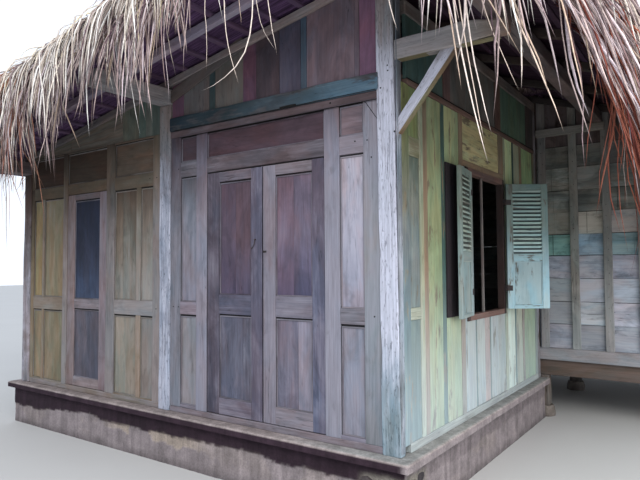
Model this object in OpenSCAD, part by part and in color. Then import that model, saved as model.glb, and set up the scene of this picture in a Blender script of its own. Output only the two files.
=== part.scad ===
// Thatched timber house: a panelled front room on a low masonry plinth, and a
// boarded house raised on short stilts behind it. Millimetres, +Z up.

/* [Plinth] */
// Height of the front room's masonry plinth above the ground
plinth_h = 450; // [400:10:600]
// How far the plinth's cap stands out past the walls
cap_out = 100; // [60:5:120]

/* [Front room] */
// Depth of the front room, from its front wall to the raised house
room_depth = 3456; // [3400:8:3800]
// How far the brace reaches along the corner beam
brace_reach = 420; // [380:10:460]

/* [Raised house] */
// Number of bays that stand out to the right of the front room
wing_bays = 2; // [2:1:3]
// Depth of the raised house, outside to outside
house_depth = 3600; // [3400:20:4000]
// Thickness of its floor boards
floor_t = 35; // [25:5:35]

/* [Roof] */
// Pitch of the raised house's roof, in degrees
pitch = 30; // [28:1:34]
// Thickness of the thatch, square to the slope
thatch_t = 150; // [120:5:180]
// Overhang of the raised house's eaves
eave_out = 800; // [700:10:900]
// How far the thatch stands out in front of the front wall
verge_out = 900; // [850:10:1000]

/* [Windows] */
// Opening angle of the shutters that are folded back
shutter_back = 172; // [160:1:173]
// Opening angle of the shutter that stands half way
shutter_half = 127; // [115:1:140]

/* [Hidden] */

rd = room_depth;
yb = rd + house_depth;          // back face of the raised house
ym = (rd + yb) / 2;             // its ridge line
hx0 = -4860;                    // left face of both parts
hx1 = wing_bays * 1800;         // right face of the raised house
post = 146;
x_lo = -5450;                   // tip of the left eave and verge
x_hi = hx1 + 550;               // tip of the right verge
x_eave = 1050;                  // tip of the front room's right eave
cx = (x_lo + x_hi) / 2;
cy = (yb + eave_out - verge_out) / 2;

// slopes of the front room's roof, and the height of its rafters' undersides
k_l = 0.174;
k_r = 0.3056;
function zl(x) = 2944 + k_l * (x + 2317);
function zr(x) = 3180 - k_r * x;
rx = (3180 - 2944 - k_l * 2317) / (k_l + k_r);
// the same for the raised house
k_h = tan(pitch);
cp = cos(pitch);
function zf(y) = 3270 + k_h * (y - rd);
function zb(y) = 3270 + k_h * (yb - y);
raf = 70;
bat = 25;
ra_h = raf / cp;
ba_h = (raf + bat) / cp + 1;
th_h = ba_h + thatch_t / cp;
lay = raf + bat + 1;            // underside of the front room's thatch
g = 0.5;                        // gap between the roof's layers

// panel wall: outer and inner face, and the panels' recess
wy0 = 14;
wy1 = 64;
rec = 14;

// outlines of the panels in the front wall: [x0, x1, z0, z1]
pan_ll = [for (z = [[62, 828], [970, 2050]]) for (x = [[-4657, -4482], [-4444, -4066]]) [x[0], x[1], z[0], z[1]]];
pan_lr = [for (z = [[62, 828], [970, 2050]]) for (x = [[-3162, -2817], [-2757, -2573]]) [x[0], x[1], z[0], z[1]]];
pan_ml = [for (z = [[78, 865], [980, 2088]]) [-2190, -1987, z[0], z[1]]];
pan_mr = [for (z = [[78, 865], [980, 2088]]) [-485, -279, z[0], z[1]]];
pan_lf = [[-4657, -4090, 2180, 2508], [-3960, -3290, 2180, 2508], [-3160, -2573, 2180, 2508]];
pan_mf = [[-2190, -1990, 2226, 2456], [-1862, -618, 2226, 2456], [-482, -285, 2226, 2456]];

// windows: outline of the hole that takes each frame
win_w = 1004;
win_h = 1318;
win_y = 1236;
win_z = 810;
hw_z = 1150;
bw_x = [-3060, 1400];           // right edges of the back wall's holes

// main posts of the raised house
hp = [hx0 + 120, -2393, 0, hx1 / 2, hx1 - 120];
row = [rd + 130, ym, yb - 130];

module bx(x0, x1, y0, y1, z0, z1) translate([x0, y0, z0]) cube([x1 - x0, y1 - y0, z1 - z0]);
module xz(pts, y0, y1) translate([0, y1, 0]) rotate([90, 0, 0]) linear_extrude(y1 - y0) polygon(pts);
module yz(pts, x0, x1) translate([x0, 0, 0]) rotate([90, 0, 90]) linear_extrude(x1 - x0) polygon(pts);
module place() translate([-cx, -cy, plinth_h]) children();

// slab with sunk panels on both faces
module panelled(x0, x1, z0, z1, panels, y0 = wy0, y1 = wy1, r = rec)
    difference() {
        bx(x0, x1, y0, y1, z0, z1);
        for (p = panels) {
            bx(p[0], p[1], y0 - 1, y0 + r, p[2], p[3]);
            bx(p[0], p[1], y1 - r, y1 + 1, p[2], p[3]);
        }
    }

// ---------- base ----------
module plinth() color([0.36, 0.29, 0.28]) place()
    bx(hx0 - 40, 40, -40, rd, -plinth_h, -60);
module plinth_cap() color([0.55, 0.5, 0.44]) place() difference() {
    bx(hx0 - cap_out, cap_out, -cap_out, rd, -60, 0);
    bx(hx0 + 160, -160, 160, rd + 1, -61, 1);
}
module front_floor() color([0.5, 0.47, 0.43]) place()
    bx(hx0 + 160, -160, 160, rd, -60, 0);
module pad_stones() color([0.45, 0.43, 0.41]) place()
    for (x = hp) for (y = row) translate([x, y, -plinth_h]) cylinder(r = 122, h = 120, $fn = 32);
module stilts() color([0.4, 0.35, 0.31]) place()
    for (x = hp) for (y = row) bx(x - 70, x + 70, y - 70, y + 70, -plinth_h + 120, 20);
module floor_beams() color([0.4, 0.34, 0.3]) place()
    for (y = row) bx(hx0 + 40, hx1 - 40, y - 70, y + 70, 20, 200);
module floor_joists() color([0.42, 0.36, 0.31]) place()
    for (i = [0:3]) for (j = [1:3]) {
        x = hp[i] + (hp[i + 1] - hp[i]) * j / 4;
        bx(x - 35, x + 35, rd + 60, yb - 60, 200, 300);
    }
module house_sills() color([0.44, 0.38, 0.34]) place() difference() {
    bx(hx0, hx1, rd, yb, 200, 340);
    bx(hx0 + 60, hx1 - 60, rd + 60, yb - 60, 199, 341);
}
module house_floor() color([0.5, 0.42, 0.33]) place() difference() {
    bx(hx0 + 60, hx1 - 60, rd + 60, yb - 60, 300, 300 + floor_t);
    for (x = hp) for (y = [row[0], row[2]]) bx(x - 62, x + 62, y - 72, y + 72, 299, 301 + floor_t);
}

// ---------- frame ----------
module posts() color([0.62, 0.6, 0.6]) place() {
    // front room: left, middle and corner posts, and their fellows at the back
    bx(hx0, hx0 + post, 0, post, 0, 2360);
    bx(-2466, -2320, 0, post, 0, 2775);
    bx(-post, 0, 0, post, 0, 3178);
    bx(hx0, hx0 + post, rd - 105, rd, 0, 2360);
    bx(-2466, -2320, rd - 105, rd, 0, 2775);
    bx(-105, 0, rd - 105, rd, 0, 3070);
    // raised house: wall posts on the floor beams, king posts on the ties
    for (x = hp) {
        for (y = [row[0], row[2]]) bx(x - 60, x + 60, y - 70, y + 70, 200, 3184);
        bx(x - 50, x + 50, ym - 50, ym + 50, 3304, zf(ym - 60) - 122);
    }
}
module front_sill() color([0.5, 0.45, 0.42]) place() {
    bx(hx0 + post, -2466, wy0, wy1, 0, 50);
    bx(-2320, -post, wy0, wy1, 0, 50);
}
module wall_left_of_side_door() color([0.62, 0.57, 0.42]) place()
    panelled(hx0 + post, -3989, 50, 2067, pan_ll);
module wall_right_of_side_door() color([0.62, 0.57, 0.42]) place()
    panelled(-3294, -2466, 50, 2067, pan_lr);
module side_door_frieze() color([0.5, 0.42, 0.34]) place()
    panelled(hx0 + post, -2466, 2067, 2524, pan_lf);
module wall_left_of_main_door() color([0.5, 0.44, 0.46]) place()
    panelled(-2320, -1858, 50, 2100, pan_ml);
module wall_right_of_main_door() color([0.5, 0.45, 0.46]) place()
    panelled(-617, -post, 50, 2100, pan_mr);
module main_door_frieze() color([0.45, 0.36, 0.38]) place()
    panelled(-2320, -post, 2100, 2515, pan_mf);
module front_tie_beam() color([0.42, 0.5, 0.5]) place()
    bx(-2320, -post, -12, 80, 2515, 2640);
module gable_boards() color([0.33, 0.29, 0.29]) place() {
    xz([[-2320, 2640], [-post, 2640], [-post, zl(-post) - 2 - (rx < -post ? zl(-post) - zr(-post) : 0)], [rx, zl(rx) - 2], [-2320, zl(-2320) - 2]], 20, 50);
    xz([[-4714, 2524], [-2466, 2524], [-2466, zl(-2466) - 2], [-4714, zl(-4714) - 1]], 20, 50);
}

// ---------- side walls of the front room ----------
module side_wall(top) difference() {
    union() {
        bx(-44, -16, post, rd - 105, 0, top);
        // stiles and rails
        for (y = [[post, 176], [358, 467], [1100, 1176], [2240, 2300], [2549, 2579], [2805, 2860], [rd - 165, rd - 105]])
            bx(-56, -4, y[0], y[1], 0, top);
        bx(-56, -4, post, rd - 105, 0, 60);
        bx(-56, -4, 1176, 2240, 2128, 2180);
    }
    bx(-100, 100, win_y, win_y + win_w, win_z, win_z + win_h);
}
module right_wall() color([0.6, 0.56, 0.4]) place() side_wall(2562);
module left_wall() color([0.58, 0.54, 0.4]) place() translate([hx0, 0, 0]) mirror([1, 0, 0]) side_wall(2360);
module right_tie_beam() color([0.4, 0.33, 0.34]) place()
    bx(-70, 10, post, rd - 105, 2562, 2640);
module right_upper_boards() color([0.25, 0.28, 0.25]) place()
    bx(-44, -16, post, rd - 105, 2640, 3070);

// ---------- windows ----------
// u along the wall, -v outwards
module win_frame() {
    difference() {
        bx(0, win_w, -8, 58, 0, win_h);
        bx(50, win_w - 50, -20, 70, 50, win_h - 50);
    }
    bx(424, 444, 10, 30, 50, win_h - 50);
}
// one shutter along +X from its hinge, louvres above and a flat panel below
module shutter() {
    w = 420;
    difference() {
        bx(8, w, -15, 15, 50, 1270);
        bx(8 + 65, w - 65, -20, 20, 585, 1210);
        bx(8 + 65, w - 65, -20, -5, 80, 510);
        bx(8 + 65, w - 65, 5, 20, 80, 510);
    }
    for (i = [0:15]) translate([73, 0, 585 + 19.5 + 39.1 * i]) rotate([-35, 0, 0])
        translate([-2, -15, -3]) cube([w - 126 - 4 - 1, 30, 6]);
    for (z = [220, 1060]) translate([0, 0, z]) cylinder(r = 10, h = 60, $fn = 24);
}
module win_shutters(a, b) {
    translate([44, -28, 0]) rotate([0, 0, -a]) shutter();
    translate([win_w - 44, -28, 0]) rotate([0, 0, 180 + b]) shutter();
    // hinge plates that carry them on the frame
    for (u = [44, win_w - 44]) for (z = [220, 1060]) bx(u - 8, u + 8, -28, -8, z, z + 60);
}
module each_window() {
    translate([0, win_y, win_z]) rotate([0, 0, 90]) children(0);
    translate([hx0, win_y + win_w, win_z]) rotate([0, 0, -90]) children(1);
    for (x = bw_x) translate([x, yb, hw_z]) rotate([0, 0, 180]) children(1);
    translate([hx1, ym - win_w / 2, hw_z]) rotate([0, 0, 90]) children(1);
}
module window_frames() color([0.45, 0.36, 0.33]) place() each_window() { win_frame(); win_frame(); }
module window_shutters() color([0.5, 0.54, 0.5]) place() {
    each_window() { win_shutters(shutter_back, shutter_half); win_shutters(shutter_back - 4, shutter_back - 4); }
    // plain dark leaf that lies flat on the wall beside the front room's right window
    bx(-4, 13, 800, 1225, 872, 2105);
}

// ---------- walls of the raised house ----------
function clear_of(x, w, holes) = len([for (h = holes) if (x + w > h[0] - 5 && x < h[1] + 5) 1]) == 0;
bw_holes = [for (x = bw_x) [x - win_w, x]];
module house_front_wall() color([0.42, 0.4, 0.37]) place() {
    bx(0, hx1 - 60, rd + 30, rd + 60, 340, 3270);
    bx(hx0 + 60, 0, rd + 30, rd + 60, 2500, 3270);
    for (k = [0:floor((hx1 - 220) / 337)]) bx(18 + 337 * k, 106 + 337 * k, rd, rd + 30, 340, 3255);
    bx(16, 742, rd - 50, rd, 2764, 2846);
}
module house_back_wall() color([0.42, 0.4, 0.37]) place() difference() {
    union() {
        bx(hx0 + 60, hx1 - 60, yb - 60, yb - 30, 340, 3270);
        for (x = [hx0 + 60:337:hx1 - 140]) if (clear_of(x, 80, bw_holes)) bx(x, x + 80, yb - 30, yb, 340, 3255);
    }
    for (h = bw_holes) bx(h[0], h[1], yb - 100, yb + 10, hw_z, hw_z + win_h);
}
module end_boards(x0, x1)
    yz([[rd + 30, 340], [yb - 30, 340], [yb - 30, zb(yb - 30) - 2], [ym, zf(ym) - 2], [rd + 30, zf(rd + 30) - 2]], x0, x1);
module end_studs(x0, x1, holes)
    for (y = [rd + 40:337:yb - 120]) if (clear_of(y, 80, holes)) bx(x0, x1, y, y + 80, 340, min(zf(y), zb(y + 80)) - 4);
module house_right_wall() color([0.42, 0.4, 0.37]) place() difference() {
    union() {
        end_boards(hx1 - 60, hx1 - 30);
        end_studs(hx1 - 30, hx1, [[ym - win_w / 2, ym + win_w / 2]]);
    }
    bx(hx1 - 100, hx1 + 10, ym - win_w / 2, ym + win_w / 2, hw_z, hw_z + win_h);
}
module house_left_wall() color([0.42, 0.4, 0.37]) place() {
    end_boards(hx0 + 30, hx0 + 60);
    end_studs(hx0, hx0 + 30, []);
}
module house_beams() color([0.42, 0.35, 0.3]) place() {
    for (y = [row[0], row[2]]) bx(hx0 + 60, hx1 - 60, y - 70, y + 70, 3184, 3304);
    for (x = hp) bx(x - 60, x + 60, row[0] + 69, row[2] - 69, 3184, 3304);
}
module ridge_beam() color([0.4, 0.33, 0.28]) place()
    bx(hx0 + 60, hx1 - 60, ym - 60, ym + 60, zf(ym - 60) - 122, zf(ym - 60) - 1);

// ---------- roof timbers ----------
module front_purlins() color([0.5, 0.46, 0.44]) place() {
    bx(hx0, hx0 + 140, -750, rd, 2360, 2501);                 // left wall plate, run out to the verge
    bx(-2463, -2323, -750, rd, 2775, 2917);                   // purlin over the middle post
    bx(-110, 0, post, rd, 3070, 3179);                        // right wall plate
    bx(600, 720, -750, rd, 2846, 2959);                       // right eave purlin
}
// beam that stands out from the corner post and carries the right eave
module corner_beam() color([0.6, 0.58, 0.57]) place() bx(0, 760, 20, 120, 2700, 2846);
module corner_brace() color([0.6, 0.58, 0.57]) place()
    xz([[0, 2190], [brace_reach, 2700], [brace_reach - 105, 2700], [0, 2300]], 42, 98);
ry = [-450, -5, 850, 1700, 2550, rd - 66];
module front_rafters() color([0.4, 0.33, 0.32]) place() for (y = ry) {
    xz([[x_lo + 135, zl(x_lo + 135)], [rx - 1, zl(rx - 1)], [rx - 1, zl(rx - 1) + raf], [x_lo + 135, zl(x_lo + 135) + raf]], y, y + 60);
    xz([[rx + 1, zr(rx + 1)], [x_eave - 135, zr(x_eave - 135)], [x_eave - 135, zr(x_eave - 135) + raf], [rx + 1, zr(rx + 1) + raf]], y, y + 60);
}
module h_rafter(x, tail) {
    yz([[tail, zf(tail)], [ym - 1, zf(ym - 1)], [ym - 1, zf(ym - 1) + ra_h], [tail, zf(tail) + ra_h]], x, x + 60);
    yz([[ym + 1, zb(ym + 1)], [yb + eave_out - 135, zb(yb + eave_out - 135)], [yb + eave_out - 135, zb(yb + eave_out - 135) + ra_h], [ym + 1, zb(ym + 1) + ra_h]], x, x + 60);
}
module house_rafters() color([0.4, 0.33, 0.3]) place() {
    n = round((hx1 - hx0) / 840);
    for (i = [0:n]) {
        x = hx0 + 80 + i * (hx1 - hx0 - 220) / n;
        h_rafter(x, x > x_eave + 60 ? rd - eave_out + 135 : rd);
    }
    h_rafter(x_lo + 80, rd);
    h_rafter(x_hi - 140, rd - eave_out + 135);
}
module roof_battens() color([0.38, 0.31, 0.27]) place() {
    for (x = [x_lo + 160:262:rx - 60])
        xz([[x, zl(x) + raf + g], [x + 45, zl(x + 45) + raf + g], [x + 45, zl(x + 45) + lay - g], [x, zl(x) + lay - g]], -verge_out + 70, rd - 8);
    for (x = [x_eave - 190:-262:rx + 20])
        xz([[x, zr(x) + raf + g], [x + 45, zr(x + 45) + raf + g], [x + 45, zr(x + 45) + lay - g], [x, zr(x) + lay - g]], -verge_out + 70, rd - 8);
    for (y = [rd + 70:262:ym - 80])
        yz([[y, zf(y) + ra_h + g], [y + 45, zf(y + 45) + ra_h + g], [y + 45, zf(y + 45) + ba_h - g], [y, zf(y) + ba_h - g]], x_lo + 70, x_hi - 70);
    for (y = [rd - eave_out + 160:262:rd - 60])
        yz([[y, zf(y) + ra_h + g], [y + 45, zf(y + 45) + ra_h + g], [y + 45, zf(y + 45) + ba_h - g], [y, zf(y) + ba_h - g]], x_eave + 80, x_hi - 70);
    for (y = [yb + eave_out - 205:-262:ym + 40])
        yz([[y, zb(y) + ra_h + g], [y + 45, zb(y + 45) + ra_h + g], [y + 45, zb(y + 45) + ba_h - g], [y, zb(y) + ba_h - g]], x_lo + 70, x_hi - 70);
}

// ---------- thatch ----------
lip = 165;
// left slope of the front room, low its underside below the battens' top
module left_slab(y0, y1, low) xz([[x_lo, zl(x_lo) + lay - lip], [x_lo + 100, zl(x_lo + 100) + lay - lip],
    [x_lo + 130, zl(x_lo + 130) + lay - low], [rx, zl(rx) + lay - low], [rx, zl(rx) + lay + thatch_t], [x_lo, zl(x_lo) + lay + thatch_t]], y0, y1);
module right_slab(y0, y1, low) xz([[x_eave, zr(x_eave) + lay - lip], [x_eave - 100, zr(x_eave - 100) + lay - lip],
    [x_eave - 130, zr(x_eave - 130) + lay - low], [rx, zr(rx) + lay - low], [rx, zr(rx) + lay + thatch_t], [x_eave, zr(x_eave) + lay + thatch_t]], y0, y1);
module front_thatch_left() color([0.62, 0.55, 0.44]) place() {
    left_slab(-verge_out + 50, rd, 0);
    left_slab(-verge_out, -verge_out + 50, 110);
}
module front_thatch_right() color([0.62, 0.55, 0.44]) place() {
    right_slab(-verge_out + 50, rd, 0);
    right_slab(-verge_out, -verge_out + 50, 110);
}
module under_front_roof() xz([[x_lo - 10, 0], [x_eave + 1, 0], [x_eave + 1, zr(x_eave + 1) + lay + thatch_t + g],
    [rx, zr(rx) + lay + thatch_t + g], [x_lo - 10, zl(x_lo - 10) + lay + thatch_t + g]], -2000, rd + g);
module h_front(x0, x1, y0, low, l) yz([[y0, zf(y0) + ba_h - l], [y0 + 100, zf(y0 + 100) + ba_h - l],
    [y0 + 130, zf(y0 + 130) + ba_h - low], [ym, zf(ym) + ba_h - low], [ym, zf(ym) + th_h], [y0, zf(y0) + th_h]], x0, x1);
module h_back(x0, x1, low) yz([[yb + eave_out, zb(yb + eave_out) + ba_h - lip], [yb + eave_out - 100, zb(yb + eave_out - 100) + ba_h - lip],
    [yb + eave_out - 130, zb(yb + eave_out - 130) + ba_h - low], [ym, zb(ym) + ba_h - low], [ym, zb(ym) + th_h], [yb + eave_out, zb(yb + eave_out) + th_h]], x0, x1);
module house_thatch_front() color([0.6, 0.53, 0.43]) place() {
    h_front(x_eave + 50, x_hi - 50, rd - eave_out, 0, lip);
    h_front(x_hi - 50, x_hi, rd - eave_out, 110, lip);
    difference() {
        union() {
            h_front(x_lo + 50, x_eave + 50, rd - 350, 0, 0);
            h_front(x_lo, x_lo + 50, rd - 350, 110, 110);
        }
        under_front_roof();
    }
}
module house_thatch_back() color([0.6, 0.53, 0.43]) place() {
    h_back(x_lo + 50, x_hi - 50, 0);
    h_back(x_lo, x_lo + 50, 110);
    h_back(x_hi - 50, x_hi, 110);
}
module ridge_cap() color([0.5, 0.43, 0.35]) place() {
    a = 380;
    yz([[ym - a, zf(ym - a) + th_h], [ym, zf(ym) + th_h], [ym + a, zb(ym + a) + th_h],
        [ym + a, zb(ym + a) + th_h + 55], [ym + 90, zb(ym + 90) + th_h + 75], [ym - 90, zf(ym - 90) + th_h + 75], [ym - a, zf(ym - a) + th_h + 55]], x_lo, x_hi);
}

// ---------- doors ----------
// hinge knuckles on a leaf's inner face, s = 1 where the leaf runs to the right
module knuckles(x, s) for (z = [260, 1010, 1740]) translate([x, 0, z]) {
    translate([0, 77, 0]) cylinder(r = 8, h = 80, $fn = 32);
    translate([s > 0 ? 0 : -54, 59, 0]) cube([54, 10, 80]);
    translate([s > 0 ? 0 : -8, 68, 0]) cube([8, 12, 80]);
}
module main_door_left() color([0.5, 0.4, 0.42]) place() {
    knuckles(-1852, 1);
    panelled(-1852, -1234, 56, 2094, [[-1712, -1349, 190, 888], [-1712, -1349, 1050, 2006]], 18, 60, 12);
}
module main_door_right() color([0.5, 0.4, 0.42]) place() {
    knuckles(-623, -1);
    panelled(-1222, -623, 56, 2094, [[-1096, -735, 190, 888], [-1096, -735, 1050, 2006]], 18, 60, 12);
}
module side_door() color([0.4, 0.4, 0.44]) place() {
    knuckles(-3983, 1);
    panelled(-3983, -3300, 56, 2061, [[-3857, -3412, 150, 860], [-3857, -3412, 960, 2000]], 18, 60, 12);
}

plinth();
plinth_cap();
front_floor();
pad_stones();
stilts();
floor_beams();
floor_joists();
house_floor();
house_sills();
posts();
front_sill();
wall_left_of_side_door();
wall_right_of_side_door();
side_door_frieze();
wall_left_of_main_door();
wall_right_of_main_door();
main_door_frieze();
front_tie_beam();
gable_boards();
right_wall();
right_tie_beam();
right_upper_boards();
left_wall();
window_frames();
window_shutters();
house_front_wall();
house_right_wall();
house_back_wall();
house_left_wall();
house_beams();
ridge_beam();
front_purlins();
corner_beam();
corner_brace();
front_rafters();
house_rafters();
roof_battens();
front_thatch_left();
front_thatch_right();
house_thatch_front();
house_thatch_back();
ridge_cap();
main_door_left();
main_door_right();
side_door();
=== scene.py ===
import math
import random
import bpy
import numpy as np
from mathutils import Matrix, Vector


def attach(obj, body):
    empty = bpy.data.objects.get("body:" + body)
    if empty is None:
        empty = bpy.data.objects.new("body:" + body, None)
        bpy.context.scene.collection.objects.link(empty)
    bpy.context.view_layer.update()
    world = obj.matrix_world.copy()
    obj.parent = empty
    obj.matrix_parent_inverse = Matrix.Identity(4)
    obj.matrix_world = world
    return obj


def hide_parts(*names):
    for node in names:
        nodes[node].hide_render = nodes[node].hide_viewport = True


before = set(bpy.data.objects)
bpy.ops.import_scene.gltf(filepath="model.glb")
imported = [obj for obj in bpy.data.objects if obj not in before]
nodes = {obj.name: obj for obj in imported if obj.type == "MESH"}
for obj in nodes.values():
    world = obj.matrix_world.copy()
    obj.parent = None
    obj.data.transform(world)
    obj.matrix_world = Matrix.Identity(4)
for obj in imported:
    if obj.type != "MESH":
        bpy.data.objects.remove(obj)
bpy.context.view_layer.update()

# ---------------------------------------------------------------- frame
# Everything below is written in house coordinates, in metres: X to the right along the
# front, Y into the depth, Z up from the foot of the walls. OFF takes them to the frame.
OFF = np.array([0.65, -3.478, 0.45])
rng = np.random.default_rng(11)
random.seed(11)

RD, YB = 3.456, 7.056
YM = (RD + YB) / 2
HX0, HX1 = -4.86, 3.6
X_LO, X_HI, X_EAVE = -5.45, 4.15, 1.05
KL, KR, KH = 0.174, 0.3056, math.tan(math.radians(30))
RX = (3.180 - 2.944 - KL * 2.317) / (KL + KR)
CP = math.cos(math.radians(30))
THATCH = 0.15
LAY = 0.096
TH_H = 0.095 / CP + 0.001 + THATCH / CP


def zl(x):
    return 2.944 + KL * (x + 2.317)


def zr(x):
    return 3.180 - KR * x


def zroof(x):
    return np.minimum(zl(x), zr(x))


def zf(y):
    return 3.27 + KH * (y - RD)


def zb(y):
    return 3.27 + KH * (YB - y)


def lin(r, g, b):
    """An sRGB colour of 0 to 255 as linear values."""
    return np.array([((c / 255 + 0.055) / 1.055) ** 2.4 if c > 10 else c / 255 / 12.92 for c in (r, g, b)])


# ---------------------------------------------------------------- node trees
class Tree:
    def __init__(self, name):
        self.mat = bpy.data.materials.new(name)
        self.mat.use_nodes = True
        self.t = self.mat.node_tree
        self.t.nodes.clear()

    def node(self, kind, ins=(), **props):
        n = self.t.nodes.new(kind)
        for k, v in props.items():
            setattr(n, k, v)
        for k, v in dict(ins).items():
            s = n.inputs[k]
            if isinstance(v, bpy.types.NodeSocket):
                self.t.links.new(v, s)
            else:
                s.default_value = v
        return n

    def attr(self, name):
        return self.node("ShaderNodeAttribute", attribute_name=name)

    def scale(self, v, s, add=(0, 0, 0)):
        n = self.node("ShaderNodeVectorMath", {0: v, 1: s, 2: add}, operation="MULTIPLY_ADD")
        return n.outputs[0]

    def noise(self, v, s=1.0, detail=3.0, rough=0.55, dist=0.0):
        n = self.node("ShaderNodeTexNoise", {"Vector": v, "Scale": s, "Detail": detail, "Roughness": rough, "Distortion": dist})
        return n.outputs[0]

    def m(self, op, a, b=0.0, c=0.0, clamp=False):
        n = self.node("ShaderNodeMath", {0: a, 1: b, 2: c}, operation=op)
        n.use_clamp = clamp
        return n.outputs[0]

    def span(self, v, a, b, c=0.0, d=1.0, smooth=True):
        n = self.node("ShaderNodeMapRange", {"Value": v, "From Min": a, "From Max": b, "To Min": c, "To Max": d})
        n.interpolation_type = "SMOOTHSTEP" if smooth else "LINEAR"
        return n.outputs[0]

    def mix(self, f, a, b, mode="MIX"):
        n = self.node("ShaderNodeMix", data_type="RGBA", blend_type=mode)
        for i, v in ((0, f), (6, a), (7, b)):
            if isinstance(v, bpy.types.NodeSocket):
                self.t.links.new(v, n.inputs[i])
            elif i == 0:
                n.inputs[i].default_value = v
            else:
                n.inputs[i].default_value = (*v[:3], 1.0)
        return n.outputs[2]

    def rgb(self, c):
        n = self.node("ShaderNodeRGB")
        n.outputs[0].default_value = (*c[:3], 1.0)
        return n.outputs[0]

    def value(self, col, v):
        """A colour times a number."""
        n = self.node("ShaderNodeVectorMath", {0: col, 3: v}, operation="SCALE")
        return n.outputs[0]

    def finish(self, col, rough, height=None, bump=0.5, dist=0.002, spec=0.3):
        b = self.node("ShaderNodeBsdfPrincipled", {"Base Color": col, "Roughness": rough})
        b.inputs["Specular IOR Level"].default_value = spec
        if height is not None:
            h = self.node("ShaderNodeBump", {"Height": height})
            h.inputs["Strength"].default_value = bump
            h.inputs["Distance"].default_value = dist
            self.t.links.new(h.outputs[0], b.inputs["Normal"])
        o = self.node("ShaderNodeOutputMaterial")
        self.t.links.new(b.outputs[0], o.inputs[0])
        return self.mat


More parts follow.
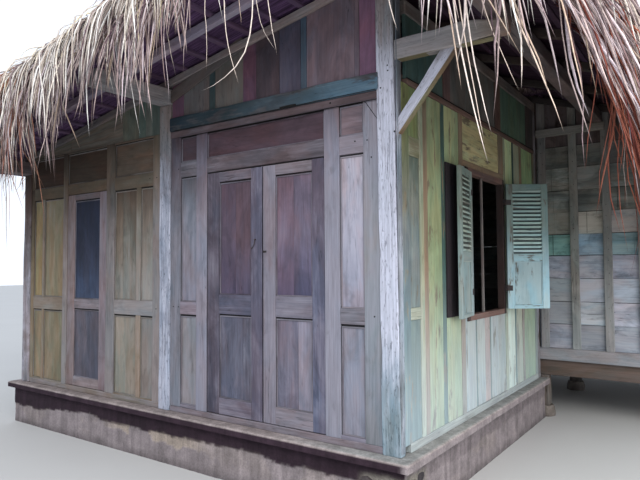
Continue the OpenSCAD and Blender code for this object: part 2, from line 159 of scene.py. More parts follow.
def wood(name, weather=(0.36, 0.36, 0.40), fibre=1.0, fleck=0.0, cracks=0.6, bump=0.6, rough=0.8, obj_axis=None, tint=None,
         under=None, peel=0.0, stain=0.5, foot=None, high=None, figure=0.0, hue=0.06, cloud=0.16):
    """Old timber: fibres and growth bands along the grain, weathering, stains, splits and, with peel, paint that wears off."""
    t = Tree(name)
    if obj_axis is None:
        g = t.attr("grain").outputs["Vector"]
        at = t.attr("tint")
        base, alpha = at.outputs["Color"], at.outputs["Alpha"]
    else:
        tc = t.node("ShaderNodeTexCoord").outputs["Object"]
        sep = t.node("ShaderNodeSeparateXYZ", {0: tc})
        order = {0: (0, 1, 2), 1: (1, 2, 0), 2: (2, 0, 1)}[obj_axis]
        g = t.node("ShaderNodeCombineXYZ", {0: sep.outputs[order[0]], 1: sep.outputs[order[1]], 2: sep.outputs[order[2]]}).outputs[0]
        base, alpha = t.rgb(tint), 0.35
    fine = t.noise(t.scale(g, (2.6, 85, 85)), 1, 5, 0.65, 0.15)
    band = t.noise(t.scale(g, (0.9, 14, 14)), 1, 4, 0.6, 0.9)
    blot = t.noise(t.scale(g, (2.3, 4.6, 4.6), (3.1, 1.7, 5.2)), 1, 5, 0.62, 0.8)
    patch = t.noise(t.scale(g, (3.4, 9, 9), (8.1, 2.7, 1.2)), 1, 4, 0.65, 0.3)
    k1 = t.span(band, 0.28, 0.72, 1 - 0.30 * fibre, 1 + 0.2 * fibre)
    k2 = t.span(fine, 0.25, 0.75, 1 - 0.30 * fibre, 1 + 0.22 * fibre)
    k3 = t.span(blot, 0.3, 0.7, 1 - cloud, 1 + cloud * 0.8)
    k = t.m("MULTIPLY", t.m("MULTIPLY", k1, k2), k3)
    if figure:
        # growth rings cut lengthwise: thin dark lines that wander along the board
        rings = t.m("FRACT", t.m("MULTIPLY", t.noise(t.scale(g, (0.55, 3.6, 3.6), (6.6, 2.2, 7.1)), 1, 2.0, 0.45, 0.5), 16.0))
        ring = t.span(t.m("ABSOLUTE", t.m("SUBTRACT", rings, 0.5)), 0.0, 0.26, 1.0, 0.0)
        k = t.m("MULTIPLY", k, t.m("SUBTRACT", 1.0, t.m("MULTIPLY", ring, figure)))
    warm = t.node("ShaderNodeVectorMath", {0: base, 1: (1 + hue * 1.3, 1 - hue * 0.4, 1 - hue * 0.9)}, operation="MULTIPLY").outputs[0]
    cool = t.node("ShaderNodeVectorMath", {0: base, 1: (1 - hue, 1 + hue * 0.2, 1 + hue)}, operation="MULTIPLY").outputs[0]
    drift = t.noise(t.scale(g, (1.9, 5.5, 5.5), (2.1, 9.3, 4.4)), 1, 4, 0.6, 0.5)
    col = t.value(t.mix(t.span(drift, 0.38, 0.62), warm, cool), k)
    if peel:
        raw = t.value(t.rgb(under), k)
        bare = t.span(t.m("ADD", t.m("MULTIPLY", patch, 0.65), t.m("MULTIPLY", band, 0.45)), 0.66 - 0.2 * peel, 0.74 - 0.2 * peel)
        col = t.mix(bare, col, raw)
    # weathering: the tint's alpha says how much of the face has gone grey
    w = t.m("ADD", t.m("MULTIPLY", blot, 0.55), t.m("ADD", t.m("MULTIPLY", band, 0.22), t.m("MULTIPLY", fine, 0.23)))
    grey_to = t.rgb(weather)
    edge = t.m("SUBTRACT", 0.86, t.m("MULTIPLY", alpha, 0.72))
    wm = t.node("ShaderNodeMapRange", {"Value": w, "From Min": t.m("SUBTRACT", edge, 0.2), "From Max": t.m("ADD", edge, 0.2), "To Min": 0.0, "To Max": 0.85})
    wm.interpolation_type = "SMOOTHSTEP"
    grey = t.value(grey_to, t.span(fine, 0.3, 0.7, 0.74, 1.14))
    col = t.mix(wm.outputs[0], col, grey)
    if foot:
        # the wall's foot is paler and bluer: partly wood bleached by rain and sun, partly painted light from the open
        # sky that reaches the low wall; foot = (height where it ends, amount, colour)
        zz = t.node("ShaderNodeSeparateXYZ", {0: t.node("ShaderNodeTexCoord").outputs["Object"]}).outputs[2]
        ff = t.span(t.m("ADD", zz, t.m("MULTIPLY", band, 0.5)), OFF[2] + foot[0] + 0.25, OFF[2] + 0.3, 0.0, foot[1])
        pale = t.mix(0.62, t.value(col, 1.7), t.value(t.rgb(foot[2]), t.span(fine, 0.3, 0.7, 0.82, 1.1)))
        col = t.mix(ff, col, pale)
    if high:
        # painted shade: the wood is darkened towards the top, where the roof keeps the light off; high = (from, to,
        # factor)
        zz = t.node("ShaderNodeSeparateXYZ", {0: t.node("ShaderNodeTexCoord").outputs["Object"]}).outputs[2]
        col = t.value(col, t.span(t.m("ADD", zz, t.m("MULTIPLY", blot, 0.2)), OFF[2] + high[0] + 0.1, OFF[2] + high[1] + 0.1, 1.0, high[2]))
    # stains
    dark = t.span(patch, 0.56, 0.72, 0.0, stain)
    col = t.mix(dark, col, t.value(col, 0.5))
    # long splits
    cr = t.noise(t.scale(g, (1.1, 30, 30), (4.4, 6.1, 9.7)), 1, 2.5, 0.5, 0.1)
    line = t.span(t.m("ABSOLUTE", t.m("SUBTRACT", cr, 0.5)), 0.0, 0.012, 1.0, 0.0)
    where = t.span(t.noise(t.scale(g, (0.9, 3, 3), (7.7, 3.3, 2.2)), 1, 2), 0.47, 0.6)
    line = t.m("MULTIPLY", line, t.m("MULTIPLY", where, cracks))
    col = t.mix(line, col, t.value(col, 0.28))
    height = t.m("ADD", t.m("MULTIPLY", fine, 0.6), t.m("SUBTRACT", t.m("MULTIPLY", band, 0.5), t.m("MULTIPLY", line, 1.3)))
    if fleck:
        fl = t.noise(t.scale(g, (17, 75, 75), (1.9, 8.3, 3.8)), 1, 3.5, 0.6, 0.9)
        fm = t.m("MULTIPLY", t.span(fl, 0.56, 0.66), fleck)
        col = t.mix(fm, col, t.value(col, 0.42))
        height = t.m("SUBTRACT", height, t.m("MULTIPLY", fm, 0.9))
    return t.finish(col, t.span(fine, 0.2, 0.8, rough - 0.08, rough + 0.12), height, bump, 0.0022, 0.28)


# ---------------------------------------------------------------- meshes
def smoothstep_(a, b, x):
    t_ = np.clip((x - a) / (b - a), 0, 1)
    return t_ * t_ * (3 - 2 * t_)


def smooth_noise(n, amp):
    a = rng.normal(0, amp, n + 4)
    return np.convolve(a, [0.25, 0.5, 0.25], "same")[2:n + 2]


class Build:
    """Collects planks and other parts into one mesh, with a tint and a grain direction at every vertex."""

    def __init__(self, name, body="house", slot=None, replaces=(), mat=None):
        self.name, self.body, self.slot_name, self.rep = name, body, slot, replaces
        self.v, self.f, self.t, self.g, self.mi, self.n = [], [], [], [], [], 0
        self.mats = [mat] if mat else []
        self.cur = 0

    def use(self, mat):
        if mat not in self.mats:
            self.mats.append(mat)
        self.cur = self.mats.index(mat)

    def add(self, v, faces, tint, grain):
        """v (n,3) in house coordinates, tint (4,) or (n,4), grain (n,3)."""
        v = np.asarray(v, float)
        self.v.append(v)
        self.f.extend([tuple(i + self.n for i in f) for f in faces])
        self.mi.extend([self.cur] * len(faces))
        self.t.append(np.broadcast_to(np.asarray(tint, float), (len(v), 4)))
        self.g.append(np.asarray(grain, float))
        self.n += len(v)

    def plank(self, lo, hi, axis=2, tint=(0.3, 0.3, 0.3), wx=0.3, bev=0.003, wob=0.0008, segs=None, top=None, M=None, vary=0.05, chip=0.0):
        """A board with broken edges. axis is its grain's direction, top(x, y) a height that it is cut to."""
        lo, hi = np.array(lo, float), np.array(hi, float)
        a, b, c = axis, (axis + 1) % 3, (axis + 2) % 3
        L = hi[a] - lo[a]
        bev = min(bev, 0.3 * (hi[b] - lo[b]), 0.3 * (hi[c] - lo[c]), 0.3 * L)
        n = segs if segs is not None else max(1, min(7, int(L / 0.35)))
        pos = np.concatenate([[lo[a]], np.linspace(lo[a] + bev, hi[a] - bev, n + 1), [hi[a]]])
        b0, b1, c0, c1 = lo[b], hi[b], lo[c], hi[c]
        e = bev
        oct_ = np.array([(b0 + e, c0), (b1 - e, c0), (b1, c0 + e), (b1, c1 - e), (b1 - e, c1), (b0 + e, c1), (b0, c1 - e), (b0, c0 + e)])
        mid = np.array([(b0 + b1) / 2, (c0 + c1) / 2])
        half = np.array([(b1 - b0) / 2, (c1 - c0) / 2])
        R = len(pos)
        V = np.zeros((R, 8, 3))
        wb, wc = smooth_noise(R, wob), smooth_noise(R, wob)
        sb, sc = smooth_noise(R, wob * 0.8), smooth_noise(R, wob * 0.8)
        for i in range(R):
            p = oct_.copy()
            if i in (0, R - 1):
                p = mid + (p - mid) * (1 - e / half)
            p = mid + (p - mid) * (1 + np.array([sb[i], sc[i]]) / half)
            V[i, :, a] = pos[i]
            V[i, :, b] = p[:, 0] + wb[i]
            V[i, :, c] = p[:, 1] + wc[i]
        if chip:
            hit = rng.random((R, 4)) < 0.3
            for i in range(1, R - 1):
                for q in range(4):
                    if hit[i, q]:
                        j = (2 * q + 1, (2 * q + 2) % 8)
                        for jj in j:
                            d = mid - V[i, jj][[b, c]]
                            V[i, jj, b] += np.sign(d[0]) * min(chip * rng.random(), abs(d[0]) * 0.4)
                            V[i, jj, c] += np.sign(d[1]) * min(chip * rng.random(), abs(d[1]) * 0.4)
        V = V.reshape(-1, 3)
        g = np.stack([V[:, a] - lo[a], V[:, b] - b0, V[:, c] - c0], 1) + rng.uniform(0, 40, 3)
        if top is not None:
            V[:, 2] = np.minimum(V[:, 2], top(V[:, 0], V[:, 1]))
        if M is not None:
            V = V @ np.array(M)[:3, :3].T + np.array(M)[:3, 3]
        F = []
        for i in range(R - 1):
            for j in range(8):
                k = (j + 1) % 8
                F.append((i * 8 + j, i * 8 + k, (i + 1) * 8 + k, (i + 1) * 8 + j))
        F.append(tuple(range(7, -1, -1)))
        F.append(tuple((R - 1) * 8 + j for j in range(8)))
        tt = np.array(tint[:3]) * (1 + rng.normal(0, vary)) * (1 + rng.normal(0, vary * 0.35, 3))
        self.add(V, F, (*np.clip(tt, 0.001, 1), float(np.clip(wx + rng.normal(0, 0.05), 0, 1))), g)

    def rod(self, p, q, r, tint, wx=0.0, sides=10, dome=0.0):
        """A round bar from p to q with flat or domed ends, its grain along it."""
        p, q = np.array(p, float), np.array(q, float)
        d = q - p
        L = np.linalg.norm(d)
        d = d / L
        x = np.cross(d, (0, 0, 1) if abs(d[2]) < 0.9 else (1, 0, 0))
        x /= np.linalg.norm(x)
        y = np.cross(d, x)
        ang = np.arange(sides) * 2 * math.pi / sides
        rings = [(0, 0.82), (0.12 * r, 1), (L - 0.12 * r, 1), (L, 0.82)]
        if dome:
            rings = [(0, 1.0), (L, 1.0), (L + dome * 0.6, 0.75), (L + dome, 0.3)]
        V = np.concatenate([p + d * h + r * k * (np.cos(ang)[:, None] * x + np.sin(ang)[:, None] * y) for h, k in rings])
        F = []
        for i in range(3):
            for j in range(sides):
                k = (j + 1) % sides
                F.append((i * sides + j, i * sides + k, (i + 1) * sides + k, (i + 1) * sides + j))
        F.append(tuple(range(sides - 1, -1, -1)))
        F.append(tuple(3 * sides + j for j in range(sides)))
        g = np.stack([(V - p) @ d, (V - p) @ x, (V - p) @ y], 1) + rng.uniform(0, 40, 3)
        self.add(V, F, (*tint[:3], wx), g)

    def shade(self, pts, axis=2):
        """Colours the last plank along an axis: pts is [(place, colour, weather share)]."""
        q, s = self.v[-1][:, axis], [p[0] for p in pts]
        self.t[-1] = np.stack([np.interp(q, s, [p[1][i] for p in pts]) for i in range(3)] + [np.interp(q, s, [p[2] for p in pts])], 1)

    def make(self):
        V = np.concatenate(self.v) + OFF
        me = bpy.data.meshes.new(self.name)
        me.from_pydata(V.tolist(), [], self.f)
        for mt in self.mats:
            me.materials.append(mt)
        if len(self.mats) > 1:
            me.polygons.foreach_set("material_index", np.array(self.mi, np.int32))
        a = me.attributes.new("tint", "FLOAT_COLOR", "POINT")
        a.data.foreach_set("color", np.concatenate(self.t).astype(np.float32).ravel())
        a = me.attributes.new("grain", "FLOAT_VECTOR", "POINT")
        a.data.foreach_set("vector", np.concatenate(self.g).astype(np.float32).ravel())
        me.update()
        return place_piece(me, self.name, self.body, self.rep)


def place_piece(me, name, body, rep):
    ob = bpy.data.objects.new(name, me)
    bpy.context.scene.collection.objects.link(ob)
    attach(ob, body)
    if rep:
        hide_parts(*rep)
    return ob
# ---------------------------------------------------------------- timber finishes
W_PANEL = wood("weathered_panel", weather=lin(122, 120, 130), fibre=0.46, cracks=0.65, bump=0.45, cloud=0.22, hue=0.06, figure=0.10)
W_KHAKI = wood("khaki_panel", weather=lin(130, 125, 124), fibre=0.34, cracks=0.4, bump=0.4, cloud=0.16, hue=0.07, figure=0.10)
W_POST = wood("weathered_post", weather=lin(186, 188, 202), fibre=0.6, fleck=0.75, cracks=0.75, bump=0.8, rough=0.85, stain=0.35)
W_BEAM = wood("grey_timber", weather=lin(138, 134, 134), fibre=0.6, fleck=0.3, cracks=0.8, bump=0.7)
W_DARK = wood("dark_timber", weather=lin(84, 74, 78), fibre=0.7, cracks=0.6, bump=0.6, rough=0.82)
# the foot settings below paint the walls' feet paler and bluer: partly bleaching, partly painted light
W_BOARD = wood("old_board", weather=lin(122, 120, 116), fibre=0.5, cracks=0.9, bump=0.6, stain=0.8, cloud=0.42, foot=(1.6, 0.5, lin(158, 163, 172)))
W_DULL = wood("dull_board", weather=lin(92, 90, 90), fibre=0.4, cracks=0.8, bump=0.5, stain=0.5, cloud=0.22, figure=0.08)
W_TEAL = wood("teal_paint", weather=lin(96, 108, 112), fibre=0.4, cracks=0.7, bump=0.4, under=lin(66, 66, 70), peel=0.5, stain=0.5, cloud=0.25)
W_PAINT = wood("worn_paint", weather=lin(146, 149, 134), fibre=0.42, cracks=0.5, bump=0.4, under=lin(120, 108, 88), peel=0.3, stain=0.35, figure=0.16, cloud=0.16,
               foot=(1.45, 0.85, lin(172, 187, 196)))
W_SHUT = wood("shutter_paint", weather=lin(134, 144, 142), fibre=0.25, cracks=0.25, bump=0.25, under=lin(104, 100, 92), peel=0.3, stain=0.25)


def iron_material():
    t = Tree("old_iron")
    p = t.node("ShaderNodeTexCoord").outputs["Object"]
    n = t.noise(p, 60, 4, 0.6)
    col = t.mix(t.span(n, 0.45, 0.7), lin(42, 38, 40), lin(74, 58, 52))
    return t.finish(col, t.span(n, 0.3, 0.7, 0.55, 0.9), n, 0.4, 0.001, 0.4)


IRON = iron_material()
INK = lin(14, 12, 12)


def nail(B, x, z, y, r=0.006, axis=1, sign=-1):
    """Dark dowel hole or nail head on a face that looks along axis."""
    p, q = [x, y, z], [x, y, z]
    if axis == 0:
        p, q = [y, x, z], [y, x, z]
    p[axis] -= sign * 0.004
    q[axis] += sign * 0.0012
    B.rod(p, q, r, INK, sides=8, dome=0.0)


def bead(B, x0, x1, z0, z1, y, tint, w=0.011, d=0.006, axis=1, wx=0.5, out=-1):
    """Thin moulding round a panel, inside its opening; y is the panel's face and out the way that it faces."""
    ya, yb = (y - d, y) if out < 0 else (y, y + d)
    for lo, hi, ax in (((x0, z0), (x1, z0 + w), 0), ((x0, z1 - w), (x1, z1), 0), ((x0, z0 + w), (x0 + w, z1 - w), 2), ((x1 - w, z0 + w), (x1, z1 - w), 2)):
        if axis == 1:
            B.plank((lo[0], ya, lo[1]), (hi[0], yb, hi[1]), ax, tint, wx, 0.0022, 0.0003)
        else:
            B.plank((ya, lo[0], lo[1]), (yb, hi[0], hi[1]), 1 if ax == 0 else 2, tint, wx, 0.0022, 0.0003)


def panel(B, x0, x1, z0, z1, y0, y1, tints, rec=0.014, grain=2, beads=None, wx=0.35, splits=None, vary=0.02, grad=None, gap=(0.012, 0.005)):
    """Sunk panel of one or more boards with a bead on both faces and an open joint, gap, along its head and one side,
    which is a near black strip: the joint with the shadow that the rail and stile cast painted in.
    grad is [(height, factor of the colour, weather share)]."""
    edges = [x0] + list(splits or []) + [x1]
    if grain == 0:
        edges = [z0] + list(splits or []) + [z1]
    for i in range(len(edges) - 1):
        tt = tints[i % len(tints)]
        a, b = edges[i] + (0.0004 if i else -0.003), edges[i + 1] - (0.0004 if i < len(edges) - 2 else -0.003)
        yy0 = y0 + rec + rng.uniform(0, 0.0015)
        if grain == 2:
            B.plank((a, yy0, z0 - 0.003), (b, y1 - rec, z1 + 0.003), 2, tt, wx, 0.0012, 0.0003, vary=vary)
            if grad:
                B.shade([(g_[0], np.array(tt) * np.array(g_[1]), g_[2]) for g_ in grad])
        else:
            B.plank((x0 - 0.003, yy0, a), (x1 + 0.003, y1 - rec, b), 0, tt, wx, 0.0012, 0.0003, vary=vary)
    # painted shadow: near black strips in the joint along the panel's head and left side
    dark = np.array(tints[0]) * 0.05
    yf = y0 + rec - 0.0002
    B.plank((x0, yf - 0.0016, z1 - gap[0]), (x1, yf + 0.001, z1 + 0.001), 0, dark, 0, 0.0004, 0, vary=0)
    B.plank((x0 - 0.001, yf - 0.0014, z0), (x0 + gap[1], yf + 0.001, z1 - gap[0]), 2, dark, 0, 0.0004, 0, vary=0)
    if beads is not None:
        bead(B, x0 + gap[1], x1, z0, z1 - gap[0], y0 + rec, np.array(beads) * 0.72)
        bead(B, x0, x1, z0, z1, y1 - rec, beads, out=1)


# ---------------------------------------------------------------- front, right bay
Y0, Y1 = 0.014, 0.064
C_STILE, C_JAMB, C_RAIL = lin(122, 113, 121), lin(134, 132, 144), lin(120, 112, 122)
C_FRIEZE = lin(72, 54, 61)

B = Build("wall_left_of_main_door_panels", slot="weathered_timber", replaces=["wall_left_of_main_door"], mat=W_PANEL)
# painted shade: the stiles, jamb, rail and panel here darken towards the top, under the roof; the left stile is also
# paler and bluer low down, painted light from the open sky
B.plank((-2.320, Y0, 0.05), (-2.193, Y1, 2.457), 2, lin(114, 106, 112), 0.45, 0.003, 0.0008)
B.shade([(0.05, lin(112, 116, 124), 0.45), (1.7, lin(100, 102, 110), 0.4), (2.15, lin(88, 82, 90), 0.25), (2.52, lin(70, 60, 68), 0.05)])
B.plank((-1.986, Y0 - 0.002, 0.05), (-1.858, Y1 + 0.002, 2.457), 2, C_JAMB, 0.5, 0.003, 0.0008)
B.shade([(0.05, lin(134, 132, 144), 0.5), (1.7, C_JAMB, 0.45), (2.15, lin(112, 104, 114), 0.3), (2.52, lin(78, 66, 74), 0.05)])
B.plank((-2.193, Y0, 0.866), (-1.986, Y1, 0.979), 0, C_RAIL, 0.45)
B.plank((-2.193, Y0, 2.089), (-1.986, Y1, 2.225), 0, lin(98, 90, 98), 0.4)
B.plank((-2.193, Y0, 0.05), (-1.986, Y1, 0.078), 0, C_RAIL, 0.4)
panel(B, -2.193, -1.986, 0.979, 2.089, Y0, Y1, [lin(126, 126, 134)], beads=lin(112, 106, 112), gap=(0.012, 0.009),
      grad=[(0.98, (0.94, 0.86, 0.9), 0.35), (1.5, (0.96, 0.98, 1.02), 0.35), (1.85, (0.72, 0.72, 0.72), 0.25), (2.08, (0.48, 0.46, 0.46), 0.12)])
panel(B, -2.193, -1.986, 0.078, 0.866, Y0, Y1, [lin(127, 127, 130)], beads=lin(120, 112, 118), gap=(0.016, 0.006))
for x, z in ((-2.219, 2.168), (-2.28, 0.93), (-2.215, 0.93), (-1.93, 2.16)):
    nail(B, x, z, Y0)
B.make()

B = Build("wall_right_of_main_door_panels", slot="weathered_timber", replaces=["wall_right_of_main_door"], mat=W_PANEL)
# painted shade: the jamb and stile here darken towards the top, under the roof; low down they and the upper panel are
# given bluer colours, painted light from the open sky
B.plank((-0.617, Y0 - 0.002, 0.05), (-0.484, Y1 + 0.002, 2.457), 2, lin(144, 142, 156), 0.7, 0.003, 0.0008)
B.shade([(0.05, lin(152, 160, 176), 0.8), (1.2, lin(166, 172, 190), 0.9), (1.7, lin(174, 177, 196), 0.9), (2.15, lin(130, 123, 132), 0.4), (2.52, lin(106, 94, 100), 0.05)])
B.plank((-0.280, Y0, 0.05), (-0.146, Y1, 2.457), 2, lin(134, 131, 140), 0.55, 0.003, 0.0008)
B.shade([(0.05, lin(96, 106, 110), 0.4), (0.35, lin(112, 120, 126), 0.5), (0.6, lin(124, 134, 138), 0.5), (1.1, lin(144, 148, 150), 0.55), (1.6, lin(146, 146, 148), 0.55), (2.1, lin(138, 138, 148), 0.5), (2.46, lin(126, 122, 130), 0.4)])
B.plank((-0.484, Y0, 0.866), (-0.280, Y1, 0.979), 0, C_RAIL, 0.45)
B.plank((-0.484, Y0, 2.089), (-0.280, Y1, 2.225), 0, lin(126, 120, 128), 0.5)
B.plank((-0.484, Y0, 0.05), (-0.280, Y1, 0.078), 0, C_RAIL, 0.4)
panel(B, -0.484, -0.280, 0.979, 2.089, Y0, Y1, [lin(173, 165, 174)], beads=lin(150, 142, 148),
      grad=[(0.98, (0.72, 0.8, 0.88), 0.4), (1.3, (0.92, 0.96, 1.0), 0.38), (2.08, (1.0, 1.0, 1.0), 0.35)])
panel(B, -0.484, -0.280, 0.078, 0.866, Y0, Y1, [lin(126, 126, 138)], beads=lin(118, 116, 124), gap=(0.016, 0.006))
for x, z in ((-0.246, 2.172), (-0.212, 2.046), (-0.347, 2.176), (-0.55, 0.92), (-0.2, 0.93)):
    nail(B, x, z, Y0)
B.make()

B = Build("main_door_frieze_panels", slot="weathered_timber", replaces=["main_door_frieze"], mat=W_PANEL)
B.plank((-1.858, Y0 - 0.001, 2.100), (-0.617, Y1, 2.226), 0, lin(86, 76, 82), 0.32, 0.004)
B.plank((-2.320, Y0 - 0.010, 2.457), (-0.146, Y1, 2.5145), 0, lin(84, 74, 79), 0.3, 0.004, 0.0015)
B.plank((-2.193, Y0 - 0.014, 2.449), (-0.150, Y0 - 0.001, 2.459), 0, lin(80, 70, 75), 0.3, 0.003, 0.001)
# the frieze is set dark, darkest to the left: partly its own dark wood, partly painted shade under the roof
panel(B, -1.858, -0.617, 2.226, 2.457, Y0, Y1, [C_FRIEZE], grain=0, beads=lin(80, 63, 70), vary=0.03, wx=0.08)
panel(B, -2.193, -1.986, 2.225, 2.457, Y0, Y1, [lin(68, 56, 63)], grain=0, beads=lin(76, 66, 72), wx=0.15)
panel(B, -0.484, -0.280, 2.225, 2.457, Y0, Y1, [lin(106, 95, 101)], grain=0, beads=lin(112, 100, 106), wx=0.2)
for x, z in ((-1.942, 2.487), (-0.552, 2.487)):
    nail(B, x, z, Y0 - 0.010, 0.008)
# the split in the right stile's head, a thin dark wedge let into its face
for k in range(5):
    x, z = -0.262 + 0.024 * k, 2.452 - 0.034 * k
    B.rod((x, Y0 - 0.0006, z), (x + 0.028, Y0 - 0.0006, z - 0.036), 0.0022, INK, sides=6)
B.make()

B = Build("front_tie_beam_timber", slot="teal_paint", replaces=["front_tie_beam"], mat=W_TEAL)
B.plank((-2.320, -0.012, 2.5155), (-0.146, 0.080, 2.640), 0, lin(66, 84, 92), 0.3, 0.006, 0.0015, segs=12, chip=0.004)
# painted shade: the beam darkens towards its left end, deeper in the thatch's shade
B.shade([(-2.32, lin(32, 46, 56), 0.05), (-1.6, lin(40, 56, 62), 0.12), (-1.1, lin(54, 64, 72), 0.22), (-0.75, lin(62, 80, 90), 0.25), (-0.146, lin(76, 106, 126), 0.3)], 0)
# the dark lines under the beam and under the frieze's head: the joints with the shadow cast into them painted in, wider
# where a piece has broken out
B.plank((-2.25, -0.0128, 2.5135), (-0.16, -0.0108, 2.5185), 0, INK, 0, 0.0006, 0.0006, segs=14)
B.use(W_PANEL)
B.plank((-1.02, -0.0135, 2.5150), (-0.86, -0.0105, 2.531), 0, INK, 0, 0.0008, 0.0008, segs=6)
B.plank((-2.19, Y0 - 0.0152, 2.4460), (-0.16, Y0 - 0.010, 2.4510), 0, INK, 0, 0.0008, 0.0006, segs=10)
B.make()

# ---------------------------------------------------------------- front, left bay
K_ST, K_RA = lin(124, 114, 98), lin(122, 113, 100)
B = Build("wall_left_of_side_door_panels", slot="ochre_panels", replaces=["wall_left_of_side_door"], mat=W_KHAKI)
# painted shade: the stiles and rails darken towards the top, under the roof
B.plank((-4.714, Y0, 0.05), (-4.656, Y1, 2.178), 2, lin(120, 108, 88), 0.3)
B.shade([(0.05, lin(122, 112, 94), 0.3), (1.5, lin(116, 102, 80), 0.25), (1.9, lin(92, 74, 56), 0.15), (2.18, lin(58, 44, 36), 0.03)])
B.plank((-4.067, Y0 - 0.002, 0.05), (-3.989, Y1 + 0.002, 2.524), 2, lin(116, 108, 106), 0.5)
B.shade([(0.05, lin(126, 120, 118), 0.5), (1.7, lin(120, 112, 108), 0.45), (2.15, lin(96, 86, 74), 0.2), (2.52, lin(62, 52, 44), 0.05)])
B.plank((-4.482, Y0, 0.062), (-4.444, Y1, 0.829), 2, K_ST, 0.35)
B.plank((-4.482, Y0, 0.969), (-4.444, Y1, 2.051), 2, K_ST, 0.35)
B.plank((-4.656, Y0, 0.829), (-4.067, Y1, 0.969), 0, K_RA, 0.35)
B.plank((-4.656, Y0, 2.051), (-4.067, Y1, 2.178), 0, lin(88, 77, 62), 0.18)
B.plank((-4.656, Y0, 0.05), (-4.067, Y1, 0.0625), 0, K_RA, 0.35, 0.002)
for z0, z1, t1, t2 in ((0.0625, 0.829, lin(136, 124, 100), lin(130, 121, 98)), (0.969, 2.051, lin(134, 119, 86), lin(122, 111, 88))):
    panel(B, -4.656, -4.482, z0, z1, Y0, Y1, [t1 * (1.16 if z0 > 0.5 else 0.85)], beads=lin(126, 114, 92), wx=0.3)
    panel(B, -4.444, -4.067, z0, z1, Y0, Y1, [t2 * (1.2 if z0 > 0.5 else 0.85), t2 * (1.13 if z0 > 0.5 else 0.8)], beads=lin(122, 112, 92), wx=0.3, splits=[-4.25])
B.make()

# painted light and shade on this wall: the upper panels (GRADK) and the stiles are paler and bluer low down, where
# light from the open sky falls, and darker under the head rail and the roof
GRADK = [(0.97, (1.24, 1.36, 1.5), 0.35), (1.25, (1.12, 1.18, 1.24), 0.35), (1.55, (1.0, 1.04, 1.06), 0.3), (1.85, (0.7, 0.66, 0.64), 0.2), (2.05, (0.46, 0.4, 0.38), 0.1)]
B = Build("wall_right_of_side_door_panels", slot="ochre_panels", replaces=["wall_right_of_side_door"], mat=W_KHAKI)
B.plank((-3.294, Y0 - 0.002, 0.05), (-3.161, Y1 + 0.002, 2.524), 2, lin(110, 106, 108), 0.5)
B.shade([(0.05, lin(116, 114, 116), 0.5), (1.7, lin(108, 104, 104), 0.45), (2.15, lin(96, 88, 78), 0.25), (2.52, lin(74, 64, 54), 0.05)])
B.plank((-2.574, Y0, 0.05), (-2.466, Y1, 2.524), 2, lin(118, 113, 114), 0.45)
B.shade([(0.05, lin(124, 119, 119), 0.45), (1.7, lin(118, 113, 112), 0.4), (2.15, lin(108, 100, 90), 0.25), (2.52, lin(86, 78, 66), 0.05)])
B.plank((-2.818, Y0, 0.062), (-2.756, Y1, 0.829), 2, K_ST, 0.4)
B.plank((-2.818, Y0, 0.969), (-2.756, Y1, 2.051), 2, K_ST, 0.4)
B.shade([(0.97, lin(136, 132, 124), 0.5), (1.6, lin(132, 127, 116), 0.45), (1.9, lin(112, 103, 88), 0.3), (2.05, lin(92, 82, 68), 0.2)])
B.plank((-3.161, Y0, 0.829), (-2.574, Y1, 0.969), 0, lin(125, 124, 124), 0.45)
B.plank((-3.161, Y0, 2.051), (-2.574, Y1, 2.178), 0, lin(92, 82, 69), 0.25)
B.plank((-3.161, Y0, 0.05), (-2.574, Y1, 0.0625), 0, K_RA, 0.35, 0.002)
for z0, z1, t1, t2 in ((0.0625, 0.829, [lin(136, 131, 118), lin(128, 123, 110)], [lin(118, 114, 110)]), (0.969, 2.051, [lin(112, 104, 92), lin(116, 109, 98), lin(108, 101, 90)], [lin(121, 116, 107)])):
    panel(B, -3.161, -2.818, z0, z1, Y0, Y1, t1, beads=lin(122, 115, 102), wx=0.35, splits=[-3.04, -2.93] if len(t1) == 3 else [-2.99], gap=(0.016, 0.005), grad=GRADK if z0 > 0.5 else None)
    panel(B, -2.756, -2.574, z0, z1, Y0, Y1, t2, beads=lin(120, 113, 100), wx=0.3, gap=(0.016, 0.005), grad=GRADK if z0 > 0.5 else None)
for x, z in ((-2.52, 2.12), (-2.52, 0.9), (-2.62, 2.12)):
    nail(B, x, z, Y0)
B.make()

B = Build("side_door_frieze_boards", slot="brown_panels", replaces=["side_door_frieze"], mat=W_KHAKI)
B.plank((-3.989, Y0, 2.067), (-3.294, Y1, 2.178), 0, lin(90, 78, 64), 0.25)
B.plank((-4.714, Y0, 2.178), (-4.656, Y1, 2.508), 2, lin(80, 70, 58), 0.12)
B.plank((-4.714, Y0 - 0.004, 2.508), (-4.067, Y1, 2.5235), 0, lin(84, 76, 66), 0.2, 0.002)
B.plank((-3.989, Y0 - 0.004, 2.508), (-3.294, Y1, 2.5235), 0, lin(84, 76, 66), 0.2, 0.002)
B.plank((-3.161, Y0 - 0.004, 2.508), (-2.574, Y1, 2.5235), 0, lin(96, 88, 76), 0.2, 0.002)
# the frieze panels are set darker to the left: painted shade of the thatch that hangs lowest there
for x0, x1, c in ((-4.656, -4.067, lin(60, 44, 35)), (-3.989, -3.294, lin(66, 54, 44)), (-3.161, -2.574, lin(92, 79, 67))):
    panel(B, x0, x1, 2.178, 2.508, Y0, Y1, [c, c * 0.9], grain=0, beads=c * 0.6, wx=0.06, gap=(0.008, 0.004), splits=[2.34])
B.make()

B = Build("front_sill_timber", slot="weathered_timber", replaces=["front_sill"], mat=W_PANEL)
B.plank((-4.714, Y0 - 0.004, 0.0), (-2.466, Y1, 0.050), 0, lin(128, 118, 104), 0.5, 0.005, 0.0015)
B.plank((-2.320, Y0 - 0.004, 0.0), (-0.146, Y1, 0.050), 0, lin(124, 112, 114), 0.5, 0.005, 0.0015)
B.make()

